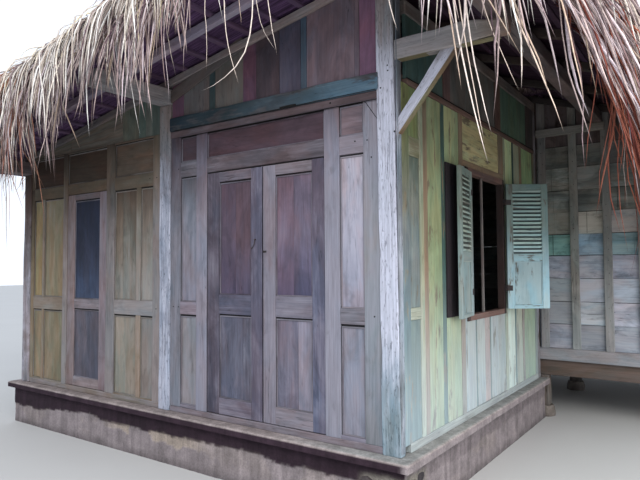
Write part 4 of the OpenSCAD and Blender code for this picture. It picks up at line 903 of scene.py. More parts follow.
# these boards and those over the way between the rooms are set dark, partly their own colour, partly painted shade
# under the eave
for i in range(16):                                      # dark upright boards over them
    x0, x1 = 3.54 * i / 16, 3.54 * (i + 1) / 16
    B.plank((x0 + 0.001, 3.486 + rng.uniform(0, 0.004), 2.640), (x1 - 0.001, 3.516, 3.270), 2, lin(94, 84, 82), 0.1, 0.003, 0.0008)
for i in range(20):                                      # boards over the way between the two rooms
    x0, x1 = -4.80 + 4.80 * i / 20, -4.80 + 4.80 * (i + 1) / 20
    B.plank((x0 + 0.001, 3.486 + rng.uniform(0, 0.004), 2.500), (x1 - 0.001, 3.516, 3.270), 2, lin(84, 74, 66), 0.15, 0.003, 0.0008)
for s_ in studs:
    B.plank((s_, 3.456, 0.340), (s_ + 0.088, 3.4855, 3.255), 2, lin(142, 140, 136) * rng.uniform(0.9, 1.1), 0.45, 0.004, 0.0014, segs=10, chip=0.003)
    for z0, z1 in zip(ZROW[:9], ZROW[1:10]):
        nail(B, s_ + 0.044 + rng.normal(0, 0.008), z0 + 0.06, 3.456, 0.004)
        nail(B, s_ + 0.044 + rng.normal(0, 0.008), z1 - 0.06, 3.456, 0.004)
B.use(W_BEAM)
B.plank((0.016, RD - 0.050, 2.764), (0.742, RD - 0.0005, 2.846), 0, lin(146, 138, 122), 0.5, 0.004, 0.0012, chip=0.003)
B.make()


def upright_studs(B, axis, x0, x1, positions, tops, out, c=(104, 96, 90)):
    for p_ in positions:
        tt = lin(*c) * rng.uniform(0.88, 1.1)
        if axis == 1:
            B.plank((p_, x0, 0.340), (p_ + 0.080, x1, tops(p_)), 2, tt, 0.35, 0.004, 0.0012, segs=8, chip=0.002)
        else:
            B.plank((x0, p_, 0.340), (x1, p_ + 0.080, tops(p_)), 2, tt, 0.35, 0.004, 0.0012, segs=8, chip=0.002)


def rows(B, axis, lo, hi, d0, d1, holes, roof=None, seed=0):
    """Horizontal boards between lo and hi, d0..d1 thick, left out at the holes [(a, b, z0, z1)]."""
    for r in range(len(ZROW) + 7):
        z0 = ZROW[r] if r < len(ZROW) else ZROW[-1] + 0.25 * (r - len(ZROW) + 1)
        z1 = ZROW[r + 1] if r + 1 < len(ZROW) else z0 + 0.25
        a, b = lo, hi
        if roof is not None:
            if z0 > zf(YM) - 0.05:
                break
            a, b = max(lo, RD + (z0 - 3.27) / KH + 0.02), min(hi, YB - (z0 - 3.27) / KH - 0.02)
        elif r + 1 >= len(ZROW):
            break
        if b - a < 0.1:
            break
        parts = [(a, b, z0, z1)]
        for h in holes:
            nxt = []
            for q in parts:
                if h[2] < q[3] - 0.001 and h[3] > q[2] + 0.001 and h[0] < q[1] and h[1] > q[0]:
                    nxt.append((q[0], h[0], q[2], q[3]))
                    nxt.append((h[1], q[1], q[2], q[3]))
                    if h[2] > q[2] + 0.01:
                        nxt.append((h[0], h[1], q[2], h[2]))
                    if h[3] < q[3] - 0.01:
                        nxt.append((h[0], h[1], h[3], q[3]))
                else:
                    nxt.append(q)
            parts = nxt
        for q in parts:
            n = max(1, int((q[1] - q[0]) / 1.3))
            for i in range(n):
                e0, e1 = q[0] + (q[1] - q[0]) * i / n, q[0] + (q[1] - q[0]) * (i + 1) / n
                v = 98 + rng.normal(0, 9)
                c = G(v) if r != 4 else lin(104, 122, 120) * rng.uniform(0.9, 1.05)
                p0, p1 = [0, 0, q[2] + 0.0003], [0, 0, q[3] - 0.0003]
                ax = 0 if axis == 1 else 1
                p0[ax], p1[ax] = e0 + 0.0008, e1 - 0.0008
                p0[axis], p1[axis] = d0, d1
                B.plank(p0, p1, ax, c, 0.3 + rng.uniform(-0.1, 0.2), 0.003, 0.001, segs=4, vary=0.05, top=roof)


B = Build("house_back_wall_boards", slot="grey_boards", replaces=["house_back_wall"], mat=W_BOARD)
BH = [(-4.064, -3.060, 1.150, 2.468), (0.396, 1.400, 1.150, 2.468)]
rows(B, 1, HX0 + 0.06, HX1 - 0.06, YB - 0.060, YB - 0.031, BH)
pos = [p_ for p_ in np.arange(HX0 + 0.06, HX1 - 0.14 + 1e-6, 0.337) if all(not (p_ + 0.08 > h[0] - 0.005 and p_ < h[1] + 0.005) for h in BH)]
upright_studs(B, 1, YB - 0.030, YB, pos, lambda p_: 3.255, 1)
B.make()
roof_end = lambda x, y: np.minimum(zf(y), zb(y)) - 0.006
B = Build("house_right_wall_boards", slot="grey_boards", replaces=["house_right_wall"], mat=W_BOARD)
RH = [(YM - WW / 2, YM + WW / 2, 1.150, 2.468)]
rows(B, 0, RD + 0.03, YB - 0.03, HX1 - 0.060, HX1 - 0.031, RH, roof_end)
pos = [p_ for p_ in np.arange(RD + 0.04, YB - 0.12 + 1e-6, 0.337) if all(not (p_ + 0.08 > h[0] - 0.005 and p_ < h[1] + 0.005) for h in RH)]
upright_studs(B, 0, HX1 - 0.030, HX1, pos, lambda p_: min(zf(p_), zb(p_ + 0.08)) - 0.006, 1)
B.make()
B = Build("house_left_wall_boards", slot="grey_boards", replaces=["house_left_wall"], mat=W_BOARD)
rows(B, 0, RD + 0.03, YB - 0.03, HX0 + 0.031, HX0 + 0.060, [], roof_end)
upright_studs(B, 0, HX0, HX0 + 0.030, list(np.arange(RD + 0.04, YB - 0.12 + 1e-6, 0.337)), lambda p_: min(zf(p_), zb(p_ + 0.08)) - 0.006, 1)
B.make()

# ---------------------------------------------------------------- floors, sills, stilts
B = Build("house_sills_timber", slot="dark_timber", replaces=["house_sills"], mat=W_BEAM)
SL = lin(112, 104, 98)
B.plank((HX0, RD, 0.200), (HX1, RD + 0.060, 0.3395), 0, lin(146, 144, 152), 0.5, 0.006, 0.0018, segs=16, chip=0.005)
B.plank((HX0, YB - 0.060, 0.200), (HX1, YB, 0.3395), 0, SL, 0.4, 0.006, 0.0018, segs=16, chip=0.005)
B.plank((HX0, RD + 0.060, 0.200), (HX0 + 0.060, YB - 0.060, 0.3395), 1, SL, 0.4, 0.006, 0.0018, segs=10, chip=0.004)
B.plank((HX1 - 0.060, RD + 0.060, 0.200), (HX1, YB - 0.060, 0.3395), 1, SL, 0.4, 0.006, 0.0018, segs=10, chip=0.004)
B.make()
B = Build("floor_beams_timber", slot="dark_timber", replaces=["floor_beams", "floor_joists"], mat=W_DARK)
for y in ROW:
    B.plank((HX0 + 0.04, y - 0.07, 0.020), (HX1 - 0.04, y + 0.07, 0.200), 0, lin(98, 86, 78), 0.3, 0.007, 0.002, segs=16, chip=0.005)
for i in range(4):
    for j in (1, 2, 3):
        x = HP[i] + (HP[i + 1] - HP[i]) * j / 4
        B.plank((x - 0.035, RD + 0.06, 0.200), (x + 0.035, YB - 0.06, 0.2995), 1, lin(92, 80, 72), 0.25, 0.005, 0.0015, segs=8)
B.make()
B = Build("stilts_timber", slot="dark_timber", replaces=["stilts"], mat=W_BEAM)
for x in HP:
    for y in ROW:
        B.plank((x - 0.07, y - 0.07, -0.330), (x + 0.07, y + 0.07, 0.020), 2, lin(104, 94, 86), 0.35, 0.008, 0.002, segs=3, chip=0.006)
B.make()
B = Build("house_floor_boards", slot="floor_boards", replaces=["house_floor"], mat=W_BOARD)
n = 18
for i in range(n):
    y0, y1 = RD + 0.06 + (3.48) * i / n, RD + 0.06 + 3.48 * (i + 1) / n
    xs = [HX0 + 0.06, -3.3 + rng.uniform(-.3, .3), -1.2 + rng.uniform(-.3, .3), 1.0 + rng.uniform(-.3, .3), HX1 - 0.06]
    for row_ in (ROW[0], ROW[2]):
        if y0 < row_ + 0.072 and y1 > row_ - 0.072:
            xs = sorted(set([HX0 + 0.06, HX1 - 0.06] + [v for x in HP for v in (x - 0.062, x + 0.062)]))
    for a, b in zip(xs[:-1], xs[1:]):
        if b - a < 0.13 or b > HX1 - 0.05 and a > HX1 - 0.2:
            continue
        B.plank((a + 0.001, y0 + 0.0015, 0.3005), (b - 0.001, y1 - 0.0015, 0.335), 0, lin(120, 104, 84), 0.3, 0.003, 0.0006)
B.make()

# ---------------------------------------------------------------- frame timbers
def shear_x(k, c):
    return Matrix(((1, 0, 0, 0), (0, 1, 0, 0), (k, 0, 1, c), (0, 0, 0, 1)))


def shear_y(k, c):
    return Matrix(((1, 0, 0, 0), (0, 1, 0, 0), (0, k, 1, c), (0, 0, 0, 1)))


S_L, S_R = shear_x(KL, 2.944 + KL * 2.317), shear_x(-KR, 3.180)
S_F, S_B = shear_y(KH, 3.27 - KH * RD), shear_y(-KH, 3.27 + KH * YB)
RA_H, BA_H = 0.07 / CP, 0.095 / CP + 0.001
B = Build("front_purlins_timber", slot="weathered_timber", replaces=["front_purlins"], mat=W_BEAM)
B.plank((HX0, -0.750, 2.3605), (HX0 + 0.140, RD, 2.501), 1, lin(104, 96, 96), 0.25, 0.007, 0.002, segs=12, chip=0.005)
B.plank((-2.463, -0.750, 2.7755), (-2.323, RD, 2.917), 1, lin(126, 118, 122), 0.35, 0.007, 0.002, segs=12, chip=0.005)
B.plank((-0.110, 0.1465, 3.0705), (0, RD, 3.1785), 1, lin(112, 104, 98), 0.3, 0.007, 0.002, segs=10, chip=0.004)
B.plank((0.600, -0.750, 2.8465), (0.720, RD, 2.9585), 1, lin(100, 90, 88), 0.2, 0.007, 0.002, segs=12, chip=0.004)
B.make()
B = Build("corner_beam_timber", slot="post_timber", replaces=["corner_beam"], mat=W_BEAM)
B.plank((-0.026, 0.010, 2.7005), (0.760, 0.084, 2.8455), 0, lin(140, 130, 122), 0.5, 0.008, 0.0025, segs=8, chip=0.006)
# painted shade: the beam darkens and browns towards its outer end, under the eave
B.shade([(0, lin(156, 151, 153), 0.7), (0.4, lin(154, 146, 142), 0.6), (0.62, lin(140, 126, 114), 0.35), (0.76, lin(122, 102, 92), 0.2)], 0)
v_ = B.v[-1]
end_ = smoothstep_(0.45, 0.76, v_[:, 0])
v_[:, 2] += np.where(v_[:, 2] > 2.77, -0.042, 0.012) * end_
# its underside is yellow
B.plank((0.004, 0.014, 2.6990), (0.70, 0.080, 2.7012), 0, lin(112, 108, 84), 0.1, 0.0006, 0.0004)
for x, z in ((0.20, 2.74), (0.45, 2.80), (0.60, 2.73)):
    nail(B, x, z, 0.020, 0.005)
B.make()
B = Build("corner_brace_timber", slot="post_timber", replaces=["corner_brace"], mat=W_POST)
def brace_shape():
    V = B.v[-1]
    s_, t_ = V[:, 0] / 0.66, V[:, 2] / 0.09
    x_ = (-0.022 + 0.442 * s_) * (1 - t_) + (-0.022 + 0.337 * s_) * t_
    B.v[-1] = np.stack([np.maximum(x_, -0.024), V[:, 1], np.minimum((2.165 + 0.535 * s_) * (1 - t_) + (2.275 + 0.425 * s_) * t_, 2.6998)], 1)


B.plank((0, 0.020, 0), (0.66, 0.078, 0.09), 0, lin(152, 152, 158), 0.8, 0.005, 0.0015, segs=8, chip=0.003)
B.shade([(0, lin(166, 152, 140), 0.5), (0.08, lin(164, 166, 176), 0.85), (0.45, lin(150, 152, 158), 0.75), (0.66, lin(120, 118, 120), 0.4)], 0)
brace_shape()
# its underside, yellow and brown
B.plank((0.01, 0.024, -0.0030), (0.655, 0.076, 0.0006), 0, lin(122, 116, 88), 0.1, 0.0006, 0.0004, segs=8)
B.shade([(0, lin(104, 78, 60), 0.0), (0.1, lin(140, 124, 96), 0.2), (0.3, lin(132, 128, 100), 0.2), (0.5, lin(122, 98, 74), 0.1), (0.66, lin(92, 76, 66), 0.0)], 0)
brace_shape()
B.make()
RY = [-0.45, -0.005, 0.85, 1.70, 2.55, RD - 0.066]
B = Build("front_rafters_timber", slot="dark_timber", replaces=["front_rafters"], mat=W_BEAM)
for i, y in enumerate(RY):
    c = [lin(142, 130, 146), lin(132, 122, 120)][i] if i < 2 else lin(78, 66, 78)
    w = [0.4, 0.35][i] if i < 2 else 0.05
    B.plank((X_LO + 0.135, y, 0.0005), (RX - 0.001, y + 0.06, 0.070), 0, c, w, 0.005, 0.0018, segs=16, M=S_L, chip=0.004)
    # painted shade: the two outer rafters darken towards their left ends; the inner ones and those under the right
    # slope are set dark, partly their own dark timber, partly painted shade of the roof's underside
    if i < 2:
        B.shade([(X_LO, c * 0.45, 0.1), (-3.6, c * 0.6, 0.2), (-2.3, c * 0.85, 0.35), (-1.2, c * 1.1, w), (0, c * 1.1, w)], 0)
    B.plank((RX + 0.001, y, 0.0005), (X_EAVE - 0.135, y + 0.06, 0.070), 0, (c if i < 2 else lin(82, 70, 66)) * 0.6, w * 0.5, 0.005, 0.0018, segs=6, M=S_R, chip=0.004)
B.make()
B = Build("house_rafters_timber", slot="dark_timber", replaces=["house_rafters"], mat=W_DARK)
xs = [HX0 + 0.08 + i * (HX1 - HX0 - 0.22) / 10 for i in range(11)]
for x in xs + [X_LO + 0.08, X_HI - 0.14]:
    tail = RD - 0.8 + 0.135 if x > X_EAVE + 0.06 else RD
    B.plank((x, tail, 0.0005), (x + 0.06, YM - 0.001, RA_H), 1, lin(92, 80, 72), 0.25, 0.005, 0.0015, segs=8, M=S_F)
    B.plank((x, YM + 0.001, 0.0005), (x + 0.06, YB + 0.8 - 0.135, RA_H), 1, lin(92, 80, 72), 0.25, 0.005, 0.0015, segs=8, M=S_B)
B.make()
B = Build("roof_battens_timber", slot="dark_timber", replaces=["roof_battens"], mat=W_DARK)
# the battens are dark purple, darker under the right slope and the house's roof: partly their own colour, partly
# painted shade of the roof's underside
CB, CL_ = lin(64, 44, 62), lin(88, 68, 92)
g0, g1 = 0.0708, 0.0945
for x in np.arange(X_LO + 0.16, RX - 0.06 + 1e-9, 0.262):
    B.plank((x, -0.9 + 0.07, g0), (x + 0.045, RD - 0.008, g1), 1, CL_, 0.1, 0.003, 0.001, segs=10, M=S_L)
for x in np.arange(X_EAVE - 0.19, RX + 0.02 - 1e-9, -0.262):
    B.plank((x, -0.9 + 0.07, g0), (x + 0.045, RD - 0.008, g1), 1, CB, 0.1, 0.003, 0.001, segs=10, M=S_R)
h0, h1 = RA_H + 0.0008, BA_H - 0.0008
for y in np.arange(RD + 0.07, YM - 0.08 + 1e-9, 0.262):
    B.plank((X_LO + 0.07, y, h0), (X_HI - 0.07, y + 0.045, h1), 0, CB, 0.1, 0.003, 0.001, segs=14, M=S_F)
for y in np.arange(RD - 0.8 + 0.16, RD - 0.06 + 1e-9, 0.262):
    B.plank((X_EAVE + 0.08, y, h0), (X_HI - 0.07, y + 0.045, h1), 0, CB, 0.1, 0.003, 0.001, segs=6, M=S_F)
for y in np.arange(YB + 0.8 - 0.205, YM + 0.04 - 1e-9, -0.262):
    B.plank((X_LO + 0.07, y, h0), (X_HI - 0.07, y + 0.045, h1), 0, CB, 0.1, 0.003, 0.001, segs=14, M=S_B)
B.make()
B = Build("house_beams_timber", slot="dark_timber", replaces=["house_beams"], mat=W_DARK)
for y in (ROW[0], ROW[2]):
    B.plank((HX0 + 0.06, y - 0.07, 3.1845), (HX1 - 0.06, y + 0.07, 3.304), 0, lin(100, 88, 80), 0.25, 0.006, 0.0018, segs=14)
for x in HP:
    B.plank((x - 0.06, ROW[0] + 0.069, 3.1845), (x + 0.06, ROW[2] - 0.069, 3.304), 1, lin(100, 88, 80), 0.25, 0.006, 0.0018, segs=8)
B.make()
B = Build("ridge_beam_timber", slot="dark_timber", replaces=["ridge_beam"], mat=W_DARK)
B.plank((HX0 + 0.06, YM - 0.06, zf(YM - 0.06) - 0.122), (HX1 - 0.06, YM + 0.06, zf(YM - 0.06) - 0.0015), 0, lin(96, 84, 76), 0.2, 0.006, 0.0018, segs=14)
B.make()
# ---------------------------------------------------------------- masonry
def vnoise(p, seed=0):
    """Smooth value noise from -1 to 1 at the points p (n,3)."""
    i = np.floor(p).astype(np.int64)
    f = p - i
    f = f * f * (3 - 2 * f)

    def h(a, b, c):
        n = (a * 374761393 + b * 668265263 + c * 2147483647 + seed * 1274126177) & 0xFFFFFFFF
        n = ((n ^ (n >> 13)) * 1274126177) & 0xFFFFFFFF
        return ((n ^ (n >> 16)) & 0xFFFF) / 32767.5 - 1
    out = 0
    for dx in (0, 1):
        for dy in (0, 1):
            for dz in (0, 1):
                w = (f[:, 0] if dx else 1 - f[:, 0]) * (f[:, 1] if dy else 1 - f[:, 1]) * (f[:, 2] if dz else 1 - f[:, 2])
                out = out + w * h(i[:, 0] + dx, i[:, 1] + dy, i[:, 2] + dz)
    return out


def fnoise(p, s, seed=0, octaves=3):
    p = np.asarray(p, float) * np.broadcast_to(s, 3)
    out, a, tot = 0, 1.0, 0
    for k in range(octaves):
        out = out + a * vnoise(p * 2 ** k + 17.3 * k, seed + k)
        tot += a
        a *= 0.5
    return out / tot


def smoothstep(a, b, x):
    t_ = np.clip((x - a) / (b - a), 0, 1)
    return t_ * t_ * (3 - 2 * t_)


def box_grid(lo, hi, step):
    """A closed box of quads of about the given size: points (n,3), faces."""
    lo, hi = np.array(lo, float), np.array(hi, float)
    n = np.maximum(1, np.round((hi - lo) / step)).astype(int)
    pts, faces, index = [], [], {}
    ax = [np.linspace(lo[k], hi[k], n[k] + 1) for k in range(3)]

    def vid(i, j, k):
        key = (i, j, k)
        if key not in index:
            index[key] = len(pts)
            pts.append((ax[0][i], ax[1][j], ax[2][k]))
        return index[key]
    for i in range(n[0]):
        for j in range(n[1]):
            for k, flip in ((0, True), (n[2], False)):
                q = [vid(i, j, k), vid(i + 1, j, k), vid(i + 1, j + 1, k), vid(i, j + 1, k)]
                faces.append(q[::-1] if flip else q)
    for i in range(n[0]):
        for k in range(n[2]):
            for j, flip in ((0, False), (n[1], True)):
                q = [vid(i, j, k), vid(i + 1, j, k), vid(i + 1, j, k + 1), vid(i, j, k + 1)]
                faces.append(q[::-1] if flip else q)
    for j in range(n[1]):
        for k in range(n[2]):
            for i, flip in ((0, True), (n[0], False)):
                q = [vid(i, j, k), vid(i, j + 1, k), vid(i, j + 1, k + 1), vid(i, j, k + 1)]
                faces.append(q[::-1] if flip else q)
    return np.array(pts), faces


def masonry_material(name, rough=0.92, scale=1.0, bump=0.6, spec=0.2):
    t = Tree(name)
    p = t.node("ShaderNodeTexCoord").outputs["Object"]
    base = t.attr("tint").outputs["Color"]
    n1 = t.noise(p, 7 * scale, 5, 0.6)
    n2 = t.noise(p, 60 * scale, 4, 0.65)
    streak = t.noise(t.scale(p, (16, 16, 1.1)), 1, 4, 0.6)
    k = t.m("MULTIPLY", t.m("MULTIPLY", t.span(n1, 0.3, 0.7, 0.8, 1.18), t.span(n2, 0.3, 0.7, 0.84, 1.14)), t.span(streak, 0.34, 0.66, 0.82, 1.14))
    col = t.value(base, k)
    pit = t.span(t.noise(p, 130 * scale, 2), 0.6, 0.68)
    col = t.mix(t.m("MULTIPLY", pit, 0.5), col, t.value(col, 0.5))
    h = t.m("SUBTRACT", t.m("ADD", t.m("MULTIPLY", n1, 0.6), t.m("MULTIPLY", n2, 0.5)), t.m("MULTIPLY", pit, 0.5))
    return t.finish(col, rough, h, bump, 0.004, spec)


M_WALL = masonry_material("plaster_and_rubble")
M_STONE = masonry_material("rubble_stone", bump=0.9, rough=0.85)
PLASTER, BAND, BARE, MORTAR, LEDGE = lin(129, 120, 121), lin(45, 33, 41), lin(150, 138, 128), lin(130, 124, 116), lin(138, 128, 126)


def blend(a, b, w):
    return a[None, :] * (1 - w[:, None]) + b[None, :] * w[:, None]


def wall_ring(lo, hi, step):
    """The four sides of a box as a fine grid, its top and bottom as one face each."""
    nx, ny, nz = (max(1, int(round((hi[k] - lo[k]) / step))) for k in range(3))
    xs, ys = np.linspace(lo[0], hi[0], nx + 1), np.linspace(lo[1], hi[1], ny + 1)
    loop = np.concatenate([np.stack([xs[:-1], np.full(nx, lo[1])], 1), np.stack([np.full(ny, hi[0]), ys[:-1]], 1),
                           np.stack([xs[:0:-1], np.full(nx, hi[1])], 1), np.stack([np.full(ny, lo[0]), ys[:0:-1]], 1)])
    m = len(loop)
    zs = np.linspace(lo[2], hi[2], nz + 1)
    pts = np.concatenate([np.concatenate([loop, np.full((m, 1), z_)], 1) for z_ in zs])
    faces = []
    for k in range(nz):
        for i in range(m):
            j = (i + 1) % m
            faces.append((k * m + i, k * m + j, (k + 1) * m + j, (k + 1) * m + i))
    faces.append(tuple(range(m - 1, -1, -1)))
    faces.append(tuple(nz * m + i for i in range(m)))
    return pts, faces


B = Build("plinth_masonry", slot="masonry", replaces=["plinth"], mat=M_WALL)
V, F = wall_ring((-4.900, -0.040, -0.450), (0.040, RD, -0.0605), 0.018)
x, y, z = V.T
front = y < -0.03
side = np.abs(x - 0.04) < 0.01
corner = smoothstep(0.34, 0.24, np.where(front, -x, np.where(side, y, 9)) + 0.05 * fnoise(V, 9, 3)) * smoothstep(-0.10, -0.15, z + 0.02 * fnoise(V, 14, 5)) * (front | side)
u = np.where(front | (y > RD - 0.01), x, y)
edge_z = -0.20 - 0.07 * smoothstep(-3.4, -4.6, x) * front + 0.05 * fnoise(np.stack([u, u * 0, z * 0.4], 1), 2.2, 7, 4) + 0.02 * fnoise(V, 18, 8)
band = smoothstep(-0.006, 0.006, z - edge_z) * (front * 1.0 + (~front) * 0.25)
peel = smoothstep(0.10, 0.16, fnoise(V, (3.1, 3.1, 5.2), 21, 4)) * smoothstep(0.02, -0.01, z - edge_z) * smoothstep(-0.16, 0.0, z - edge_z + 0.08)
peel = peel * (0.2 + 0.8 * smoothstep(-3.3, -2.9, x) * smoothstep(-1.7, -2.1, x))
d = 0.0035 * fnoise(V, 5, 1) + 0.002 * fnoise(V, 26, 2) + 0.005 * band - 0.006 * peel - 0.016 * corner
n = np.stack([np.where(x > 0.039, 1.0, np.where(x < -4.899, -1.0, 0)), np.where(front, -1.0, np.where(y > RD - 0.001, 1.0, 0)), np.zeros_like(x)], 1)
Vd = V + n * d[:, None]
col = blend(PLASTER, BAND, band)
col = col * (1 - 0.10 * (~front))[:, None] * (1 + 0.10 * side)[:, None]
col = col * (1 - peel[:, None]) + BARE[None, :] * peel[:, None]
col = col * (1 - corner[:, None]) + MORTAR[None, :] * corner[:, None]
foot = smoothstep(-0.36, -0.45, z + 0.03 * fnoise(V, 6, 12))
col = col * (1 - 0.35 * foot[:, None]) * (1 + 0.14 * fnoise(V, (1.4, 1.4, 2.2), 31, 4))[:, None]
B.add(Vd, F, np.concatenate([np.clip(col, 0.002, 1), np.ones((len(V), 1))], 1), Vd)
B.make()


def stone(B, c, r, seed, tint, squash=(1, 1, 1), rings=9, sides=14, amp=0.22):
    """A broken stone: a lumpy closed shape with flat breaks."""
    th = np.linspace(0, math.pi, rings + 1)[1:-1]
    ph = np.arange(sides) * 2 * math.pi / sides
    P = [(0, 0, 1.0)] + [(math.sin(a) * math.cos(b), math.sin(a) * math.sin(b), math.cos(a)) for a in th for b in ph] + [(0, 0, -1.0)]
    P = np.array(P)
    k = 1 + amp * fnoise(P, 1.4, seed, 3) + 0.05 * fnoise(P, 5, seed + 9, 2)
    Q = P * k[:, None]
    rr = np.random.default_rng(seed)
    for _ in range(7):
        nn = rr.normal(0, 1, 3)
        nn /= np.linalg.norm(nn)
        dd = 0.72 + 0.16 * rr.random()
        over = np.maximum(Q @ nn - dd, 0)
        Q = Q - over[:, None] * nn[None, :] * 0.9
    Q = Q * np.array(squash) * r + np.array(c)
    F = []
    for j in range(sides):
        F.append((0, 1 + j, 1 + (j + 1) % sides))
    for i in range(rings - 2):
        for j in range(sides):
            a, b = 1 + i * sides + j, 1 + i * sides + (j + 1) % sides
            F.append((a, a + sides, b + sides, b))
    last = len(P) - 1
    for j in range(sides):
        F.append((1 + (rings - 2) * sides + j, last, 1 + (rings - 2) * sides + (j + 1) % sides))
    t_ = np.array(tint)[None, :] * (1 + 0.2 * fnoise(P, 2.5, seed + 4, 3))[:, None]
    B.add(Q, F, np.concatenate([np.clip(t_, 0.002, 1), np.ones((len(P), 1))], 1), Q)


B = Build("plinth_rubble_stones", slot="masonry", mat=M_STONE)
sx = [(-0.245, -0.018, -0.205, 0.075, (1.15, 0.5, 0.8)), (-0.085, -0.016, -0.215, 0.085, (1.0, 0.5, 0.85)), (0.010, -0.005, -0.345, 0.085, (0.55, 0.55, 0.95)),
      (-0.165, -0.016, -0.335, 0.082, (1.15, 0.5, 0.8)), (-0.300, -0.014, -0.350, 0.060, (0.9, 0.5, 0.9)), (-0.070, -0.012, -0.415, 0.050, (1.1, 0.6, 0.7)),
      (0.016, 0.010, -0.180, 0.050, (0.6, 0.8, 0.9)), (0.014, 0.115, -0.225, 0.078, (0.5, 1.1, 0.85)), (0.014, 0.105, -0.370, 0.072, (0.5, 1.1, 0.9)),
      (0.015, 0.250, -0.310, 0.080, (0.5, 1.0, 0.95)), (0.014, 0.245, -0.180, 0.052, (0.5, 1.2, 0.8)), (-0.33, -0.013, -0.225, 0.045, (1.0, 0.5, 1.1))]
for i, (a, b, c, r, sq) in enumerate(sx):
    stone(B, (a, b, c), r, 100 + i, [lin(74, 68, 68), lin(88, 80, 78), lin(66, 62, 64), lin(104, 94, 86)][i % 4], sq)
B.make()

B = Build("plinth_ledge", slot="masonry", replaces=["plinth_cap"], mat=M_WALL)
pieces_ = [((-4.960, -0.100, -0.060), (0.100, 0.160, 0.0)), ((-4.960, 0.160, -0.060), (-4.700, RD, 0.0)), ((-0.160, 0.160, -0.060), (0.100, RD, 0.0))]
for lo, hi in pieces_:
    V, F = box_grid(lo, hi, 0.02)
    top = smoothstep(-0.014, -0.002, V[:, 2])
    out = np.minimum.reduce([np.abs(V[:, 0] + 4.96), np.abs(V[:, 0] - 0.10), np.abs(V[:, 1] + 0.10)])
    wear = fnoise(V, 7, 40, 4)
    drop = (0.007 * smoothstep(0.022, 0.0, out) + 0.005 * smoothstep(0.1, 0.6, wear) * smoothstep(0.04, 0.0, out)) * top
    Vd = V.copy()
    Vd[:, 2] -= drop - 0.0015 * fnoise(V, 16, 42) * top
    push = 0.006 * smoothstep(0.1, 0.7, fnoise(V, 6, 44, 3)) * (out < 0.005)
    Vd[:, 0] += np.where(np.abs(V[:, 0] + 4.96) < 0.005, push, np.where(np.abs(V[:, 0] - 0.10) < 0.005, -push, 0))
    Vd[:, 1] += np.where(np.abs(V[:, 1] + 0.10) < 0.005, push, 0)
    col = blend(BAND * 1.2, LEDGE, top) * (1 + 0.16 * fnoise(V, 2.0, 46, 4))[:, None]
    cg_ = (smoothstep(-1.2, -0.2, V[:, 0]) * top)[:, None]
    col = col * (1 - cg_) + (lin(140, 140, 138) * 1.0)[None, :] * cg_
    lip = (smoothstep(0.02, 0.004, out) * top)[:, None]
    col = col * (1 - lip) + (LEDGE * 1.35)[None, :] * lip
    right_ = smoothstep(0.03, 0.08, V[:, 0])[:, None] * (1 - top[:, None])
    col = col * (1 - right_) + (PLASTER * 1.1)[None, :] * right_
    B.add(Vd, F, np.concatenate([np.clip(col, 0.002, 1), np.ones((len(V), 1))], 1), Vd)
B.make()

B = Build("pad_stones_rough", slot="pad_stone", replaces=["pad_stones"], mat=M_STONE)
for i, x in enumerate(HP):
    for j, y in enumerate(ROW):
        V, F = box_grid((-1, -1, 0), (1, 1, 1), 0.2)
        ang = np.arctan2(V[:, 1], V[:, 0])
        m_ = np.maximum(np.abs(V[:, 0]), np.abs(V[:, 1]))
        r = 0.122 * m_ * (1 - 0.16 * V[:, 2] ** 3)
        k = 1 + 0.10 * fnoise(np.stack([np.cos(ang) * 2 + i * 9, np.sin(ang) * 2 + j * 9, V[:, 2] * 2], 1), 1, 60, 3) - 0.04
        P_ = np.stack([x + r * k * np.cos(ang), y + r * k * np.sin(ang), -0.45 + 0.1195 * V[:, 2]], 1)
        col = lin(112, 104, 98)[None, :] * (1 + 0.2 * fnoise(P_, 9, 62, 3))[:, None] * (0.7 + 0.4 * V[:, 2:3])
        B.add(P_, F, np.concatenate([np.clip(col, 0.002, 1), np.ones((len(V), 1))], 1), P_)
B.make()

# cement floor of the front room
t = Tree("worn_cement")
p_ = t.node("ShaderNodeTexCoord").outputs["Object"]
n1, n2 = t.noise(p_, 3, 5, 0.6), t.noise(p_, 90, 3, 0.6)
cem = t.mix(t.span(n1, 0.3, 0.7), lin(120, 112, 104), lin(152, 144, 132))
cem = t.value(cem, t.span(n2, 0.3, 0.7, 0.85, 1.1))
CEMENT = t.finish(cem, t.span(n1, 0.3, 0.7, 0.6, 0.9), n2, 0.3, 0.002, 0.3)
for nd in ("front_floor",):
    me_ = bpy.data.objects[nd].data
    me_.materials.clear()
    me_.materials.append(CEMENT)

# ---------------------------------------------------------------- thatch
def thatch_material(name):
    """Packed straw: the fibres run along the grain's first axis."""
    t = Tree(name)
    g = t.attr("grain").outputs["Vector"]
    base = t.attr("tint").outputs["Color"]
    a = t.noise(t.scale(g, (3.0, 120, 40)), 1, 4, 0.65, 0.4)
    b = t.noise(t.scale(g, (1.3, 26, 10), (3, 5, 7)), 1, 4, 0.6, 0.6)
    k = t.m("MULTIPLY", t.span(a, 0.32, 0.68, 0.35, 1.5), t.span(b, 0.3, 0.7, 0.6, 1.3))
    col = t.value(base, k)
    return t.finish(col, 0.9, t.m("ADD", a, t.m("MULTIPLY", b, 0.6)), 1.0, 0.006, 0.15)


def straw_material(name):
    t = Tree(name)
    base = t.attr("tint").outputs["Color"]
    p = t.node("ShaderNodeTexCoord").outputs["Object"]
    n = t.noise(p, 55, 3, 0.6)
    col = t.value(base, t.span(n, 0.3, 0.7, 0.82, 1.16))
    return t.finish(col, 0.72, None, spec=0.25)


